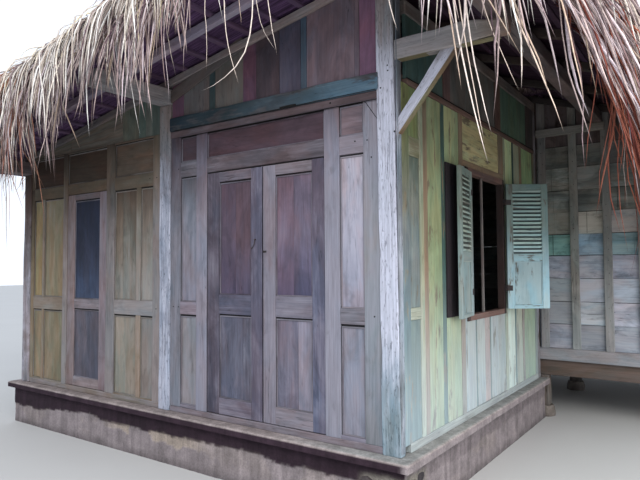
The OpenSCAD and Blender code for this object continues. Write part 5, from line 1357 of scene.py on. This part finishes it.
M_THATCH = thatch_material("packed_thatch")
M_STRAW = straw_material("straw")
STRAWS = np.array([lin(230, 223, 216), lin(214, 203, 190), lin(192, 179, 168), lin(178, 164, 159), lin(154, 138, 130), lin(212, 198, 168), lin(126, 108, 103), lin(240, 236, 232), lin(94, 72, 82)])
ODDS_OUT = np.array([0.22, 0.2, 0.15, 0.12, 0.08, 0.05, 0.05, 0.10, 0.04])
ODDS_TOP = np.array([0.10, 0.18, 0.2, 0.16, 0.14, 0.08, 0.10, 0.04, 0.02])


class Straw:
    """Single straws: closed three-sided blades that run to a point."""

    def __init__(self, name):
        self.name, self.V, self.T, self.C, self.n = name, [], [], [], 0

    def add(self, P, w, tint, thick=0.3, shade=None, root=0.55):
        """P (n,k,3) paths, w (n,) widths, tint (n,3)."""
        P = P.copy()
        for c, lo, hi in ((0, -5.655, 4.355), (1, -1.085, 8.035)):      # straws that swing far out are drawn in smoothly
            q = P[..., c]
            q = np.where(q < lo, lo - 0.055 * (1 - np.exp((q - lo) / 0.055)), q)
            P[..., c] = np.where(q > hi, hi + 0.055 * (1 - np.exp((hi - q) / 0.055)), q)
        n, k, _ = P.shape
        tan = np.gradient(P, axis=1)
        tan /= np.linalg.norm(tan, axis=2, keepdims=True) + 1e-9
        ref = rng.normal(0, 1, (n, 1, 3)) * 0.5 + np.array([0.35, -0.8, 0.25])
        side = np.cross(tan, np.broadcast_to(ref, tan.shape))
        side /= np.linalg.norm(side, axis=2, keepdims=True) + 1e-9
        nor = np.cross(side, tan)
        s = np.linspace(0, 1, k)[None, :, None]
        prof = np.clip(0.75 + 0.9 * s - 1.35 * s ** 2.2, 0.2, 1)
        W = w[:, None, None] * prof
        r = np.stack([P + side * W / 2, P - side * W / 2, P + nor * W * thick], 2)[:, :-1]      # n,k-1,3,3
        V = np.concatenate([r.reshape(n, -1, 3), P[:, -1:, :]], 1)                                # n, 3(k-1)+1
        m = 3 * (k - 1) + 1
        T = [(0, 1, 2)]
        for i in range(k - 2):
            a, b = 3 * i, 3 * i + 3
            for j in range(3):
                q = (j + 1) % 3
                T += [(a + j, b + j, a + q), (a + q, b + j, b + q)]
        a = 3 * (k - 2)
        T += [(a + j, m - 1, a + (j + 1) % 3) for j in range(3)]
        T = np.array(T)
        self.T.append((T[None] + (self.n + m * np.arange(n))[:, None, None]).reshape(-1, 3))
        self.V.append(V.reshape(-1, 3))
        # each straw is darker towards its root: painted shade where it goes in among the others
        sh = np.repeat(np.linspace(0, 1, k)[:-1], 3).tolist() + [1.0]
        f = root + (1.06 - root) * smoothstep(0.0, 0.35, np.array(sh))
        C = tint[:, None, :] * f[None, :, None]
        if shade is not None:
            C = C * shade[:, None, None]
        self.C.append(C.reshape(-1, 3))
        self.n += n * m

    def make(self, rep=()):
        V = np.concatenate(self.V) + OFF
        lim_lo = np.array([-5.73, -1.155, -0.45]) + OFF
        lim_hi = np.array([4.43, 8.11, 4.76]) + OFF
        V = np.clip(V, lim_lo, lim_hi)
        T, C = np.concatenate(self.T), np.concatenate(self.C)
        me = bpy.data.meshes.new(self.name)
        me.vertices.add(len(V))
        me.vertices.foreach_set("co", V.astype(np.float32).ravel())
        me.loops.add(len(T) * 3)
        me.loops.foreach_set("vertex_index", T.astype(np.int32).ravel())
        me.polygons.add(len(T))
        me.polygons.foreach_set("loop_start", np.arange(0, len(T) * 3, 3, dtype=np.int32))
        me.materials.append(M_STRAW)
        a = me.attributes.new("tint", "FLOAT_COLOR", "POINT")
        a.data.foreach_set("color", np.concatenate([np.clip(C, 0.002, 1), np.ones((len(C), 1))], 1).astype(np.float32).ravel())
        me.update(calc_edges=True)
        me.validate()
        print(self.name, len(T))
        return place_piece(me, self.name, "house", rep)


def pick(n, odds, seedless=None):
    c = STRAWS[rng.choice(len(STRAWS), n, p=odds / odds.sum())]
    return c * (1 + rng.normal(0, 0.08, (n, 1)))


def hang(P0, D0, L, k, free, bend, goal, wave=0.25):
    """Paths from P0 towards D0 that bend into the direction goal once they are past the length free."""
    n = len(P0)
    P = np.zeros((n, k + 1, 3))
    P[:, 0] = P0
    D = D0 / np.linalg.norm(D0, axis=1, keepdims=True)
    ds = L / k / 4
    ph, fr = rng.uniform(0, 6.28, (n, 2)), rng.uniform(1.2, 5, (n, 2))
    for i in range(k):
        q = P[:, i].copy()
        for j in range(4):
            s = (i * 4 + j) * ds
            g = np.where(s > free, np.minimum(bend * ds, 0.8), 0.0)[:, None]
            D += (goal - D) * g
            D[:, 0] += wave * ds * np.sin(ph[:, 0] + fr[:, 0] * s * 2)
            D[:, 1] += wave * ds * np.sin(ph[:, 1] + fr[:, 1] * s * 2)
            D /= np.linalg.norm(D, axis=1, keepdims=True)
            q += D * ds[:, None]
        P[:, i + 1] = q
    return P


def fringe(S, edge, out, down, thick, per_m, length, k=6, spread=0.05, gather=0.6, lean=0.5, bend=9.0, width=(0.0055, 0.0105), keep=None, loose=0.3, colour=None, drop_face=0.45, jut=1.0, goal=(0, 0, -1), stray=0.12, tuft=9, wave=0.9, dim=(0.3, 0.8), skew=(1.5, 1.9)):
    """Straws that hang over an edge of the roof.
    edge(u) gives the top edge's points, out the outward way, down the way down the slope; u runs from 0 to the edge's length.
    length(u) gives the longest straws' length in metres, per_m(u) how many there are on a metre."""
    e0 = edge(np.array([0.0]))[0]
    total = edge.length
    grid = np.linspace(0, total, 400)
    dens = per_m(grid)
    cdf = np.concatenate([[0], np.cumsum((dens[1:] + dens[:-1]) / 2 * np.diff(grid))])
    n = int(cdf[-1])
    m = max(1, int(n / tuft))
    cu = np.interp(rng.uniform(0, cdf[-1], m), cdf, grid)
    owner = rng.integers(0, m, n)
    single = rng.random(n) < loose
    u = np.where(single, np.interp(rng.uniform(0, cdf[-1], n), cdf, grid), np.clip(cu[owner] + rng.normal(0, spread, n), 0, total))
    clen = rng.beta(skew[0], skew[1], m) * 0.8 + 0.2
    frac = np.where(single, rng.beta(skew[0], skew[1] * 1.15, n) * 0.85 + 0.15, clen[owner] * rng.uniform(0.72, 1.06, n))
    L = length(u) * frac
    E = edge(u)
    face = rng.random(n) < drop_face
    back = np.where(face, rng.uniform(0.0, 0.03, n), rng.uniform(0.03, 0.20, n))
    clean = rng.normal(0, 0.3, m)
    a = np.where(single, rng.normal(lean, 0.4, n), lean + clean[owner] + rng.normal(0, 0.10, n))
    D = out[None, :] * jut + down[None, :] * a[:, None]
    D[:, 2] += np.where(face, rng.uniform(-0.9, -0.1, n), rng.uniform(-0.05, 0.15, n))
    P0 = E - out[None, :] * back[:, None] - down[None, :] * (back * a)[:, None]
    P0[:, 2] += np.where(face, -rng.uniform(0.0, thick, n), rng.uniform(-0.01, 0.02, n))
    free = np.where(face, 0.0, back * 1.0)
    L = L + np.where(face, 0, back)
    b = bend * np.where(single, rng.uniform(0.35, 1.6, n), rng.uniform(0.7, 1.3, m)[owner])
    cg = rng.normal(0, stray, (m, 2))
    G = np.tile(np.array(goal, float), (n, 1))
    G[:, :2] += np.where(single[:, None], rng.normal(0, stray * 1.6, (n, 2)), cg[owner] + rng.normal(0, stray * 0.35, (n, 2)))
    G /= np.linalg.norm(G, axis=1, keepdims=True)
    P = hang(P0, D, L, k, free, b, G, np.where(single, wave * 1.3, wave * 0.6))
    # the straws of a tuft draw together towards its tip
    s = np.linspace(0, 1, k + 1)[None, :, None]
    cen = np.zeros((m, k + 1, 3))
    cnt = np.bincount(owner[~single], minlength=m)
    for i in range(k + 1):
        for c in range(3):
            cen[:, i, c] = np.bincount(owner[~single], weights=P[~single][:, i, c], minlength=m) / np.maximum(cnt, 1)
    pull = gather * s ** 1.4
    Pc = P + (cen[owner] - P) * np.concatenate([pull * 1.0] * 1, 0)
    Pc[..., 2] = P[..., 2]
    P = np.where(single[:, None, None], P, Pc)
    if keep is not None:
        ok = keep(P)
        P, L, face = P[ok], L[ok], face[ok]
        n = len(P)
    tint = pick(n, ODDS_OUT) if colour is None else colour(P)
    w = rng.uniform(width[0], width[1], n)
    # straws that drop from the face, under the top layer, are painted dim and purplish: painted shade
    tint = np.where(face[:, None], tint * np.array([1.0, 0.88, 0.97]), tint)
    S.add(P, w, tint, shade=np.where(face, rng.uniform(dim[0], dim[1], n), rng.uniform(0.8, 1.12, n)))


def line(a, b):
    a, b = np.array(a, float), np.array(b, float)
    L = np.linalg.norm(b - a)

    def f(u):
        return a + (b - a) * (np.asarray(u) / L)[:, None]
    f.length = L
    return f


TOP = LAY + THATCH
S = Straw("front_verge_straw")
vl = line((X_LO + 0.02, -0.885, zl(X_LO + 0.02) + TOP), (RX, -0.885, zl(RX) + TOP))
fringe(S, vl, np.array([0, -1.0, 0]), np.array([-1.0, 0, -KL]), 0.22,
       lambda u: np.interp(u + X_LO, [-5.45, -2.6, -2.0, -1.6, -1.3, -1.1, -0.9, -0.6, -0.35], [360, 380, 420, 400, 340, 240, 110, 45, 40]),
       lambda u: np.interp(u + X_LO, [-5.45, -2.4, -1.9, -1.6, -1.2, -0.9, -0.6, -0.35], [1.22, 1.30, 1.15, 0.98, 0.95, 0.85, 0.6, 0.5]), lean=0.3,
       goal=(-0.04, -0.03, -1), stray=0.12, tuft=10, gather=0.7, bend=8, width=(0.008, 0.0155), loose=0.2, skew=(1.1, 2.3))


def brown(P):
    """Straw of the low left corner, nearly half of it red."""
    c = pick(len(P), ODDS_OUT)
    red = (rng.random(len(P)) < 0.45)[:, None]
    return np.where(red, lin(158, 116, 96)[None, :] * rng.uniform(0.6, 1.3, (len(P), 1)), c)


vq = line((-4.75, -0.885, zl(-4.75) + TOP), (-2.98, -0.885, zl(-2.98) + TOP))
fringe(S, vq, np.array([0, -1.0, 0]), np.array([-1.0, 0, -KL]), 0.22, lambda u: np.interp(u, [0, 0.7, 1.1, 1.6, 1.77], [100, 120, 240, 200, 60]), lambda u: np.interp(u, [0, 0.8, 1.5, 1.77], [1.4, 1.62, 1.6, 1.2]),
       lean=0.2, goal=(0.03, -0.02, -1), stray=0.12, tuft=7, gather=0.5, bend=8, width=(0.008, 0.015), loose=0.35, dim=(0.45, 0.9), skew=(2.4, 1.8), colour=brown)
vm = line((-1.75, -0.885, zl(-1.75) + TOP), (-0.86, -0.885, zl(-0.86) + TOP))
fringe(S, vm, np.array([0, -1.0, 0]), np.array([-1.0, 0, -KL]), 0.22, lambda u: np.interp(u, [0, 0.6, 0.95], [170, 230, 120]), lambda u: np.full_like(u, 1.02),
       lean=0.1, goal=(0.0, -0.03, -1), stray=0.10, tuft=6, gather=0.5, bend=8, width=(0.007, 0.014), loose=0.35, dim=(0.5, 0.9), skew=(2.0, 1.7))
vr = line((X_EAVE - 0.02, -0.885, zr(X_EAVE - 0.02) + TOP), (RX, -0.885, zr(RX) + TOP))
fringe(S, vr, np.array([0, -1.0, 0]), np.array([1.0, 0, -KR]), 0.22,
       lambda u: np.interp(X_EAVE - u, [-0.35, 0.30, 0.52, 0.66, 0.80, 1.05], [50, 26, 24, 150, 190, 260]),
       lambda u: np.interp(X_EAVE - u, [-0.35, 0.35, 0.55, 0.66, 0.80, 1.05], [0.42, 0.42, 0.62, 1.08, 1.20, 1.25]), lean=0.4,
       goal=(0.18, -0.02, -1), stray=0.13, tuft=6, gather=0.4, bend=5, width=(0.009, 0.017), loose=0.4, dim=(0.55, 0.95), skew=(2.2, 1.6))
# single long straws that stand out over the gable
heroes = [([(-.71, -.93, 3.36), (-.71, -.95, 2.95), (-.69, -.96, 2.69), (-.63, -.95, 2.50), (-.60, -.94, 2.38)], .010),
          ([(-.46, -.93, 3.36), (-.46, -.95, 2.88), (-.46, -.95, 2.63), (-.51, -.95, 2.51), (-.65, -.94, 2.44), (-.92, -.93, 2.41)], .009),
          ([(-.44, -.93, 3.36), (-.43, -.95, 2.92), (-.42, -.95, 2.80), (-.36, -.95, 2.62), (-.27, -.95, 2.53)], .007),
          ([(-.38, -.93, 3.36), (-.36, -.95, 2.92), (-.33, -.95, 2.76), (-.28, -.95, 2.51)], .006),
          ([(.40, -.93, 3.22), (.42, -.95, 2.85), (.44, -.95, 2.63), (.50, -.95, 2.46)], .008),
          ([(-.87, -.93, 3.34), (-.88, -.95, 2.98), (-.86, -.95, 2.74), (-.86, -.95, 2.53)], .005),
          ([(-.60, -.93, 3.34), (-.58, -.95, 2.98), (-.56, -.95, 2.80), (-.555, -.95, 2.74)], .005),
          ([(.74, -.93, 3.18), (.76, -.95, 2.70), (.80, -.95, 2.35), (.83, -.95, 2.08)], .011),
          ([(.74, -.93, 3.18), (.79, -.95, 2.60), (.85, -.95, 2.15), (.95, -.95, 1.72)], .013),
          ([(.76, -.93, 3.18), (.82, -.95, 2.55), (.88, -.95, 2.12), (.94, -.95, 1.82)], .011),
          ([(.82, -.93, 3.16), (.87, -.95, 2.45), (.92, -.95, 2.10), (.98, -.95, 1.86)], .009),
          ([(.86, -.93, 3.15), (.90, -.95, 2.60), (.98, -.96, 2.30), (1.09, -.95, 2.04)], .010),
          ([(1.00, -.93, 3.12), (1.10, -.96, 2.70), (1.12, -.96, 2.40), (1.12, -.95, 2.03)], .013),
          ([(.92, -.93, 3.14), (1.00, -.96, 2.75), (1.10, -.98, 2.34), (1.24, -.97, 2.02), (1.29, -.95, 1.82)], .010),
          ([(1.04, -.90, 3.12), (1.16, -.96, 2.75), (1.30, -.96, 2.40), (1.37, -.95, 1.93)], .012)]
for h, hw in heroes:
    h = np.array(h)
    d_ = np.concatenate([[0], np.cumsum(np.linalg.norm(np.diff(h, axis=0), axis=1))])
    s_ = np.linspace(0, d_[-1], 12)
    c_ = np.stack([np.interp(s_, d_, h[:, i]) for i in range(3)], 1)
    for _ in range(3):
        c_[1:-1] = (c_[:-2] + 2 * c_[1:-1] + c_[2:]) / 4
    c_[1:] += np.cumsum(rng.normal(0, 0.0022, c_[1:].shape), 0)
    S.add(c_[None], np.array([hw]), blend(lin(196, 172, 152), lin(228, 214, 204), rng.random(1)))
S.make()

S = Straw("front_right_eave_straw")
er = line((X_EAVE - 0.015, -0.88, zr(X_EAVE) + TOP), (X_EAVE - 0.015, RD - 0.02, zr(X_EAVE) + TOP))


def eave_colour(P):
    y = P[:, 0, 1]
    # painted light: the straws here are set 12 % paler, lit as the sunny side of the fringe; towards the back more and
    # more of them are red
    c = pick(len(P), ODDS_OUT) * 1.12
    red = (rng.random(len(P)) < np.interp(y, [-0.9, -0.3, 0.2, 0.8, 3.4], [0.04, 0.14, 0.5, 0.92, 0.96]))[:, None]
    return np.where(red, blend(lin(116, 52, 46), lin(200, 130, 98), rng.beta(1.0, 1.6, len(P))), c)


fringe(S, er, np.array([1.0, 0, -0.1]), np.array([0, 1.0, 0]), 0.26,
       lambda u: np.interp(u, [0, 0.5, 0.9, 2.2, 2.8, 4.4], [380, 420, 600, 600, 430, 430]), lambda u: np.interp(u, [0, 0.6, 1.1, 1.8, 3.0, 4.4], [1.25, 1.35, 1.68, 1.9, 2.2, 2.3]), lean=0.0, bend=3.2, colour=eave_colour, k=6,
       goal=(0.26, 0.07, -1), stray=0.09, tuft=8, gather=0.4, width=(0.010, 0.019), loose=0.22, dim=(0.35, 0.85), skew=(2.7, 1.4))
# the corner where verge and eave meet
ec = line((X_EAVE - 0.05, -0.885, zr(X_EAVE - 0.05) + TOP), (X_EAVE - 0.015, -0.75, zr(X_EAVE) + TOP))
fringe(S, ec, np.array([0.75, -0.65, -0.05]), np.array([0.65, 0.75, 0]), 0.24, lambda u: np.full_like(u, 560.0), lambda u: np.full_like(u, 1.2), lean=0.0, bend=4.0,
       goal=(0.32, -0.06, -1), stray=0.18, tuft=6, gather=0.4, width=(0.010, 0.018), loose=0.5, dim=(0.35, 0.85), skew=(2.0, 1.6))
S.make()

S = Straw("left_and_house_eave_straw")


def rusty(P):
    c = pick(len(P), ODDS_OUT)
    red = (rng.random(len(P)) < 0.5)[:, None]
    return np.where(red, lin(158, 112, 96)[None, :] * rng.uniform(0.6, 1.3, (len(P), 1)), c)


el = line((X_LO + 0.015, -0.88, zl(X_LO) + TOP), (X_LO + 0.015, RD - 0.02, zl(X_LO) + TOP))
fringe(S, el, np.array([-1.0, 0, -0.1]), np.array([0, 1.0, 0]), 0.26, lambda u: np.full_like(u, 190.0), lambda u: np.interp(u, [0, 0.6, 2, 5], [0.75, 0.55, 0.5, 0.5]), lean=0.0, bend=9.0, k=5, jut=0.8, goal=(-0.08, 0, -1), colour=rusty)
y0 = RD - 0.8
eh = line((X_EAVE + 0.06, y0 + 0.015, zf(y0) + TH_H), (X_HI - 0.02, y0 + 0.015, zf(y0) + TH_H))
fringe(S, eh, np.array([0, -1.0, -0.3]), np.array([1.0, 0, 0]), 0.26, lambda u: np.full_like(u, 230.0), lambda u: np.full_like(u, 0.85), lean=0.0, bend=8.0, k=5, goal=(0, -0.08, -1))
y0 = YB + 0.8
eb = line((X_LO + 0.02, y0 - 0.015, zb(y0) + TH_H), (X_HI - 0.02, y0 - 0.015, zb(y0) + TH_H))
fringe(S, eb, np.array([0, 1.0, -0.3]), np.array([1.0, 0, 0]), 0.26, lambda u: np.full_like(u, 150.0), lambda u: np.full_like(u, 0.8), lean=0.0, bend=9.0, k=4, goal=(0, 0.08, -1))
for X, o in ((X_LO + 0.015, -1.0), (X_HI - 0.015, 1.0)):
    ya = RD - 0.8 if o > 0 else RD - 0.35
    f1 = line((X, YM, zf(YM) + TH_H), (X, ya, zf(ya) + TH_H))
    fringe(S, f1, np.array([o, 0, 0]), np.array([0, -1.0, -KH]), 0.22, lambda u: np.full_like(u, 135.0), lambda u: np.full_like(u, 0.6), lean=0.5, bend=9.0, k=4, jut=0.8)
    f2 = line((X, YM, zf(YM) + TH_H), (X, YB + 0.8, zb(YB + 0.8) + TH_H))
    fringe(S, f2, np.array([o, 0, 0]), np.array([0, 1.0, -KH]), 0.22, lambda u: np.full_like(u, 135.0), lambda u: np.full_like(u, 0.6), lean=0.5, bend=9.0, k=4, jut=0.8)
S.make()


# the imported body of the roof
def thatch_slab(B, u0, u1, v0, v1, point, thick, seed, low=0.0, lip=0.06, step=0.24, edges=(1, 1, 1), du=0.10, under=lin(66, 46, 68)):
    """u along the eave, v down the slope. point(u, v, h) gives the place at the height h over the thatch's bed.
    edges says whether the ends u0, u1 and the foot v1 are open ends that are worn round."""
    us = np.linspace(u0, u1, max(2, int((u1 - u0) / du)) + 1)
    n = max(1, int(round((v1 - v0) / step)))
    vs = []
    for i in range(n):
        a, b = v0 + (v1 - v0) * i / n, v0 + (v1 - v0) * (i + 1) / n
        vs += [a + 0.004 if i else a, a + (b - a) * 0.35, a + (b - a) * 0.7, b - 0.004 if i < n - 1 else b]
    vs = np.array(vs)
    ph = np.array([0.0, 0.4, 0.75, 1.0] * n)
    U, W = np.meshgrid(us, vs, indexing="ij")
    ramp = np.broadcast_to(ph[None, :], U.shape)
    q = np.stack([U.ravel(), W.ravel(), np.zeros(U.size)], 1)
    h = thick - 0.022 + 0.036 * ramp.ravel() + 0.012 * fnoise(q, 2.3, seed, 3) + 0.008 * fnoise(q, 9, seed + 5, 2)
    d0, d1, dv = U.ravel() - u0, u1 - U.ravel(), v1 - W.ravel()
    for on, dd in zip(edges, (d0, d1, dv)):
        if on:
            h -= 0.045 * smoothstep(0.14, 0.0, dd)
    jv = 0.02 * fnoise(q, (7, 1, 1), seed + 8, 3) * smoothstep(0.3, 0.0, dv)
    top = point(U.ravel(), W.ravel() + jv, h)
    hb = np.full(U.size, 0.0)
    hb -= lip * smoothstep(0.16, 0.02, dv) * edges[2] + low * (smoothstep(0.12, 0.02, d0) * edges[0] + smoothstep(0.12, 0.02, d1) * edges[1])
    hb += 0.006 * fnoise(q, 8, seed + 11, 2) * (dv < 0.2)
    bot = point(U.ravel(), W.ravel() + jv, hb)
    nu, nv = U.shape
    N = nu * nv
    idx = np.arange(N).reshape(nu, nv)
    F = []
    a, b, c, d = idx[:-1, :-1].ravel(), idx[1:, :-1].ravel(), idx[1:, 1:].ravel(), idx[:-1, 1:].ravel()
    F += list(zip(a, b, c, d))
    F += list(zip(a + N, d + N, c + N, b + N))
    for e in (idx[:, 0], idx[:, -1][::-1], idx[0, :][::-1], idx[-1, :]):
        F += list(zip(e[1:], e[:-1], e[:-1] + N, e[1:] + N))
    V = np.concatenate([top, bot])
    # each course is darker at its head, in the step under the butt of the course above: painted shade; the underside
    # takes the colour under, partly the thatch's own dark colour, partly painted shade of the roof's underside
    tt = lin(150, 134, 116)[None, :] * (0.75 + 0.3 * ramp.ravel() + 0.2 * fnoise(q, 1.1, seed + 2, 3))[:, None]
    tb = under[None, :] * (1 + 0.2 * fnoise(q, 1.5, seed + 3, 3))[:, None]
    T_ = np.concatenate([np.concatenate([tt, tb]), np.ones((2 * N, 1))], 1)
    G_ = np.concatenate([np.stack([W.ravel(), U.ravel(), h], 1), np.stack([W.ravel(), U.ravel(), hb], 1)])
    B.add(V, [tuple(int(i) for i in f) for f in F], np.clip(T_, 0.002, 1), G_)


B = Build("thatch_bodies", slot="thatch", replaces=["front_thatch_left", "front_thatch_right", "house_thatch_front", "house_thatch_back", "ridge_cap"], mat=M_THATCH)
# the undersides: lighter purple under the left slope, darker under the right slope, partly painted shade
thatch_slab(B, -0.885, RD + 0.02, 0, RX - X_LO - 0.01, lambda u, v, h: np.stack([RX - v, u, zl(RX - v) + LAY + h], 1), THATCH, 201, low=0.05, edges=(1, 0, 1), under=lin(78, 57, 86))
thatch_slab(B, -0.885, RD + 0.02, 0, X_EAVE - RX - 0.01, lambda u, v, h: np.stack([RX + v, u, zr(RX + v) + LAY + h], 1), THATCH, 202, low=0.05, edges=(1, 0, 1), under=lin(56, 38, 52))
HB = BA_H
thatch_slab(B, X_EAVE + 0.05, X_HI - 0.01, 0, YM - RD + 0.79, lambda u, v, h: np.stack([u, YM - v, zf(YM - v) + HB + h], 1), THATCH / CP, 203, low=0.05, edges=(0, 1, 1))
thatch_slab(B, X_LO + 0.01, X_EAVE + 0.05, 0, YM - RD + 0.35, lambda u, v, h: np.stack([u, YM - v, zf(YM - v) + HB + h], 1), THATCH / CP, 204, low=0.05, lip=0.0, edges=(1, 0, 0))
thatch_slab(B, X_LO + 0.01, X_HI - 0.01, 0, YB - YM + 0.79, lambda u, v, h: np.stack([u, YM + v, zb(YM + v) + HB + h], 1), THATCH / CP, 205, low=0.05, edges=(1, 1, 1))
# ridge bundle
us = np.linspace(X_LO + 0.005, X_HI - 0.005, 90)
a_ = 0.38
prof = [(-a_, 0.0), (-a_ - 0.02, 0.04), (-0.25, 0.085), (-0.10, 0.10), (0, 0.085), (0.10, 0.10), (0.25, 0.085), (a_ + 0.02, 0.04), (a_, 0.0), (0.0, -0.03)]
ring = []
for y, h in prof:
    ring.append(np.stack([us, np.full_like(us, YM + y), np.full_like(us, min(zf(YM + y), zb(YM + y)) + TH_H + h)], 1))
R_ = np.stack(ring, 1)
R_[..., 1] += 0.02 * fnoise(R_.reshape(-1, 3), (3, 1, 1), 71, 3).reshape(R_.shape[:2]) * np.sign(R_[..., 1] - YM)
R_[..., 2] += 0.018 * fnoise(R_.reshape(-1, 3), (2.2, 3, 1), 73, 3).reshape(R_.shape[:2])
nu, nr = R_.shape[:2]
F = []
for i in range(nu - 1):
    for j in range(nr):
        k = (j + 1) % nr
        F.append((i * nr + j, i * nr + k, (i + 1) * nr + k, (i + 1) * nr + j))
F += [tuple(range(nr))[::-1], tuple((nu - 1) * nr + j for j in range(nr))]
V = R_.reshape(-1, 3)
B.add(V, F, (*lin(134, 118, 104), 1.0), np.stack([V[:, 1], V[:, 0], V[:, 2]], 1))
B.make()


# straws that lie on the slopes
def cover(S, u0, u1, v0, v1, point, per_m2, thick, down, hang_=0.04, seed=0, step=0.24):
    n = int((u1 - u0) * (v1 - v0) * per_m2)
    u = rng.uniform(u0, u1, n)
    nc = max(1, int(round((v1 - v0) / step)))
    course = rng.integers(0, nc + 1, n)
    L = rng.uniform(0.26, 0.62, n)
    end = v0 + (v1 - v0) * course / nc + rng.normal(0.02, 0.05, n)
    end = np.where(course == 0, end + 0.35, end)
    end = np.minimum(end, v1 + hang_)
    start = np.maximum(end - L, v0 - 0.02)
    sl = rng.normal(0, 0.11, n)
    lift = np.abs(rng.normal(0, 0.010, n)) + 0.004
    P = []
    for s, h in ((0, -0.012), (0.55, 0.012), (1.0, 0.016)):
        vv = start + (end - start) * s
        uu = np.clip(u + sl * (end - start) * s, u0 + 0.005, u1 - 0.005)
        P.append(point(uu, vv, thick + h + lift * (s > 0.3) + (0.012 if s == 1 else 0)))
    P = np.stack(P, 1)
    S.add(P, rng.uniform(0.007, 0.013, n), pick(n, ODDS_TOP), shade=rng.uniform(0.6, 1.05, n), root=0.7)


S = Straw("front_roof_straw")
cover(S, -0.885, RD + 0.1, 0, RX - X_LO, lambda u, v, h: np.stack([RX - v, u, zl(RX - v) + LAY + h], 1), 450, THATCH, None)
cover(S, -0.885, RD + 0.1, 0, X_EAVE - RX, lambda u, v, h: np.stack([RX + v, u, zr(RX + v) + LAY + h], 1), 450, THATCH, None)
# over the front room's ridge
n = 1500
y = rng.uniform(-0.88, RD, n)
sgn = rng.choice([-1, 1], n)
t0 = rng.uniform(-0.22, 0.0, n)
P = []
for s in (0, 0.5, 1.0):
    x = RX + sgn * (t0 + 0.42 * s)
    P.append(np.stack([x, y + rng.normal(0, 0.02, n) * s, zroof(x) + TOP + 0.012 + 0.02 * math.sin(s * 3)], 1))
S.add(np.stack(P, 1), rng.uniform(0.007, 0.013, n), pick(n, ODDS_TOP), root=0.85)
S.make()
S = Straw("house_front_roof_straw")
hf = lambda u, v, h: np.stack([u, YM - v, zf(YM - v) + HB + h], 1)
cover(S, X_EAVE + 0.05, X_HI - 0.01, 0, YM - RD + 0.79, hf, 440, THATCH / CP, None)
cover(S, X_LO + 0.01, X_EAVE + 0.05, 0, YM - RD + 0.35, hf, 420, THATCH / CP, None)
S.make()
S = Straw("house_back_roof_straw")
cover(S, X_LO + 0.01, X_HI - 0.01, 0, YB - YM + 0.79, lambda u, v, h: np.stack([u, YM + v, zb(YM + v) + HB + h], 1), 360, THATCH / CP, None)
S.make()
S = Straw("ridge_straw")
n = 5200
x = rng.uniform(X_LO + 0.01, X_HI - 0.01, n)
sgn = rng.choice([-1.0, 1.0], n)
t0 = rng.uniform(-0.15, 0.1, n)
L = rng.uniform(0.25, 0.42, n)
P = []
for s in (0, 0.5, 1.0):
    d_ = sgn * np.minimum(t0 + L * s, 0.47)
    yy = YM + d_
    hh = 0.095 - 0.05 * smoothstep(0.15, 0.42, np.abs(d_)) + 0.012 * s
    P.append(np.stack([x + rng.normal(0, 0.02, n) * s, yy, np.minimum(zf(yy), zb(yy)) + TH_H + hh - 0.01 * (s == 0)], 1))
S.add(np.stack(P, 1), rng.uniform(0.007, 0.013, n), pick(n, ODDS_TOP), root=0.85)
S.make()
# ---------------------------------------------------------------- camera
YAW, PITCH, ROLL = 0.6162, 0.0467, -0.0063
fwd = Vector((-math.sin(YAW) * math.cos(PITCH), math.cos(YAW) * math.cos(PITCH), math.sin(PITCH)))
r0 = Vector((math.cos(YAW), math.sin(YAW), 0))
u0 = r0.cross(fwd)
right = math.cos(ROLL) * r0 + math.sin(ROLL) * u0
up = -math.sin(ROLL) * r0 + math.cos(ROLL) * u0
cam_data = bpy.data.cameras.new("camera")
cam_data.sensor_width = 36
cam_data.lens = 580.47 / 640 * 36
cam_data.clip_start, cam_data.clip_end = 0.05, 200
cam = bpy.data.objects.new("camera", cam_data)
m = Matrix.Identity(4)
for i, col in enumerate((right, up, -fwd)):
    for k in range(3):
        m[k][i] = col[k]
m.translation = Vector((1.8311, -3.502, 1.2757)) + Vector(OFF)
cam.matrix_world = m
bpy.context.scene.collection.objects.link(cam)
bpy.context.scene.camera = cam
vs = bpy.context.scene.view_settings
vs.view_transform = "Standard"
vs.look = "None"
vs.exposure = 0.2

# ---------------------------------------------------------------- light and floor
world = bpy.data.worlds.new("studio")
bpy.context.scene.world = world
world.use_nodes = True
world.node_tree.nodes["Background"].inputs["Color"].default_value = (0.88, 0.95, 1.06, 1)
world.node_tree.nodes["Background"].inputs["Strength"].default_value = 1.05


def area(name, loc, target, size, power, color):
    d = bpy.data.lights.new(name, "AREA")
    d.shape = "DISK"
    d.size = size
    d.energy = power
    d.color = color
    o = bpy.data.objects.new(name, d)
    loc, target = Vector(loc) + Vector(OFF), Vector(target) + Vector(OFF)
    o.location = loc
    o.rotation_mode = "QUATERNION"
    o.rotation_quaternion = (target - loc).to_track_quat("-Z", "Y")
    bpy.context.scene.collection.objects.link(o)
    return o


area("key", (3.8, -7.5, 7.6), (-0.6, 0.3, 1.0), 5.0, 500, (1.0, 0.98, 0.96))
area("side", (7.4, -3.8, 5.6), (0.2, 2.4, 1.0), 7.0, 520, (1.0, 0.98, 0.95))
area("fill", (6.0, 0.5, 1.3), (0.4, 2.8, 1.9), 2.0, 78, (0.98, 1.0, 0.98))
t = Tree("studio_floor")
fm = t.finish(t.mix(t.noise(t.node("ShaderNodeTexCoord").outputs["Object"], 0.6, 3), (0.50, 0.495, 0.485), (0.55, 0.545, 0.535)), 0.95)
me = bpy.data.meshes.new("studio_floor")
me.from_pydata([(-60, -60, 0), (60, -60, 0), (60, 60, 0), (-60, 60, 0)], [], [(0, 1, 2, 3)])
me.materials.append(fm)
floor = bpy.data.objects.new("studio_floor", me)
bpy.context.scene.collection.objects.link(floor)
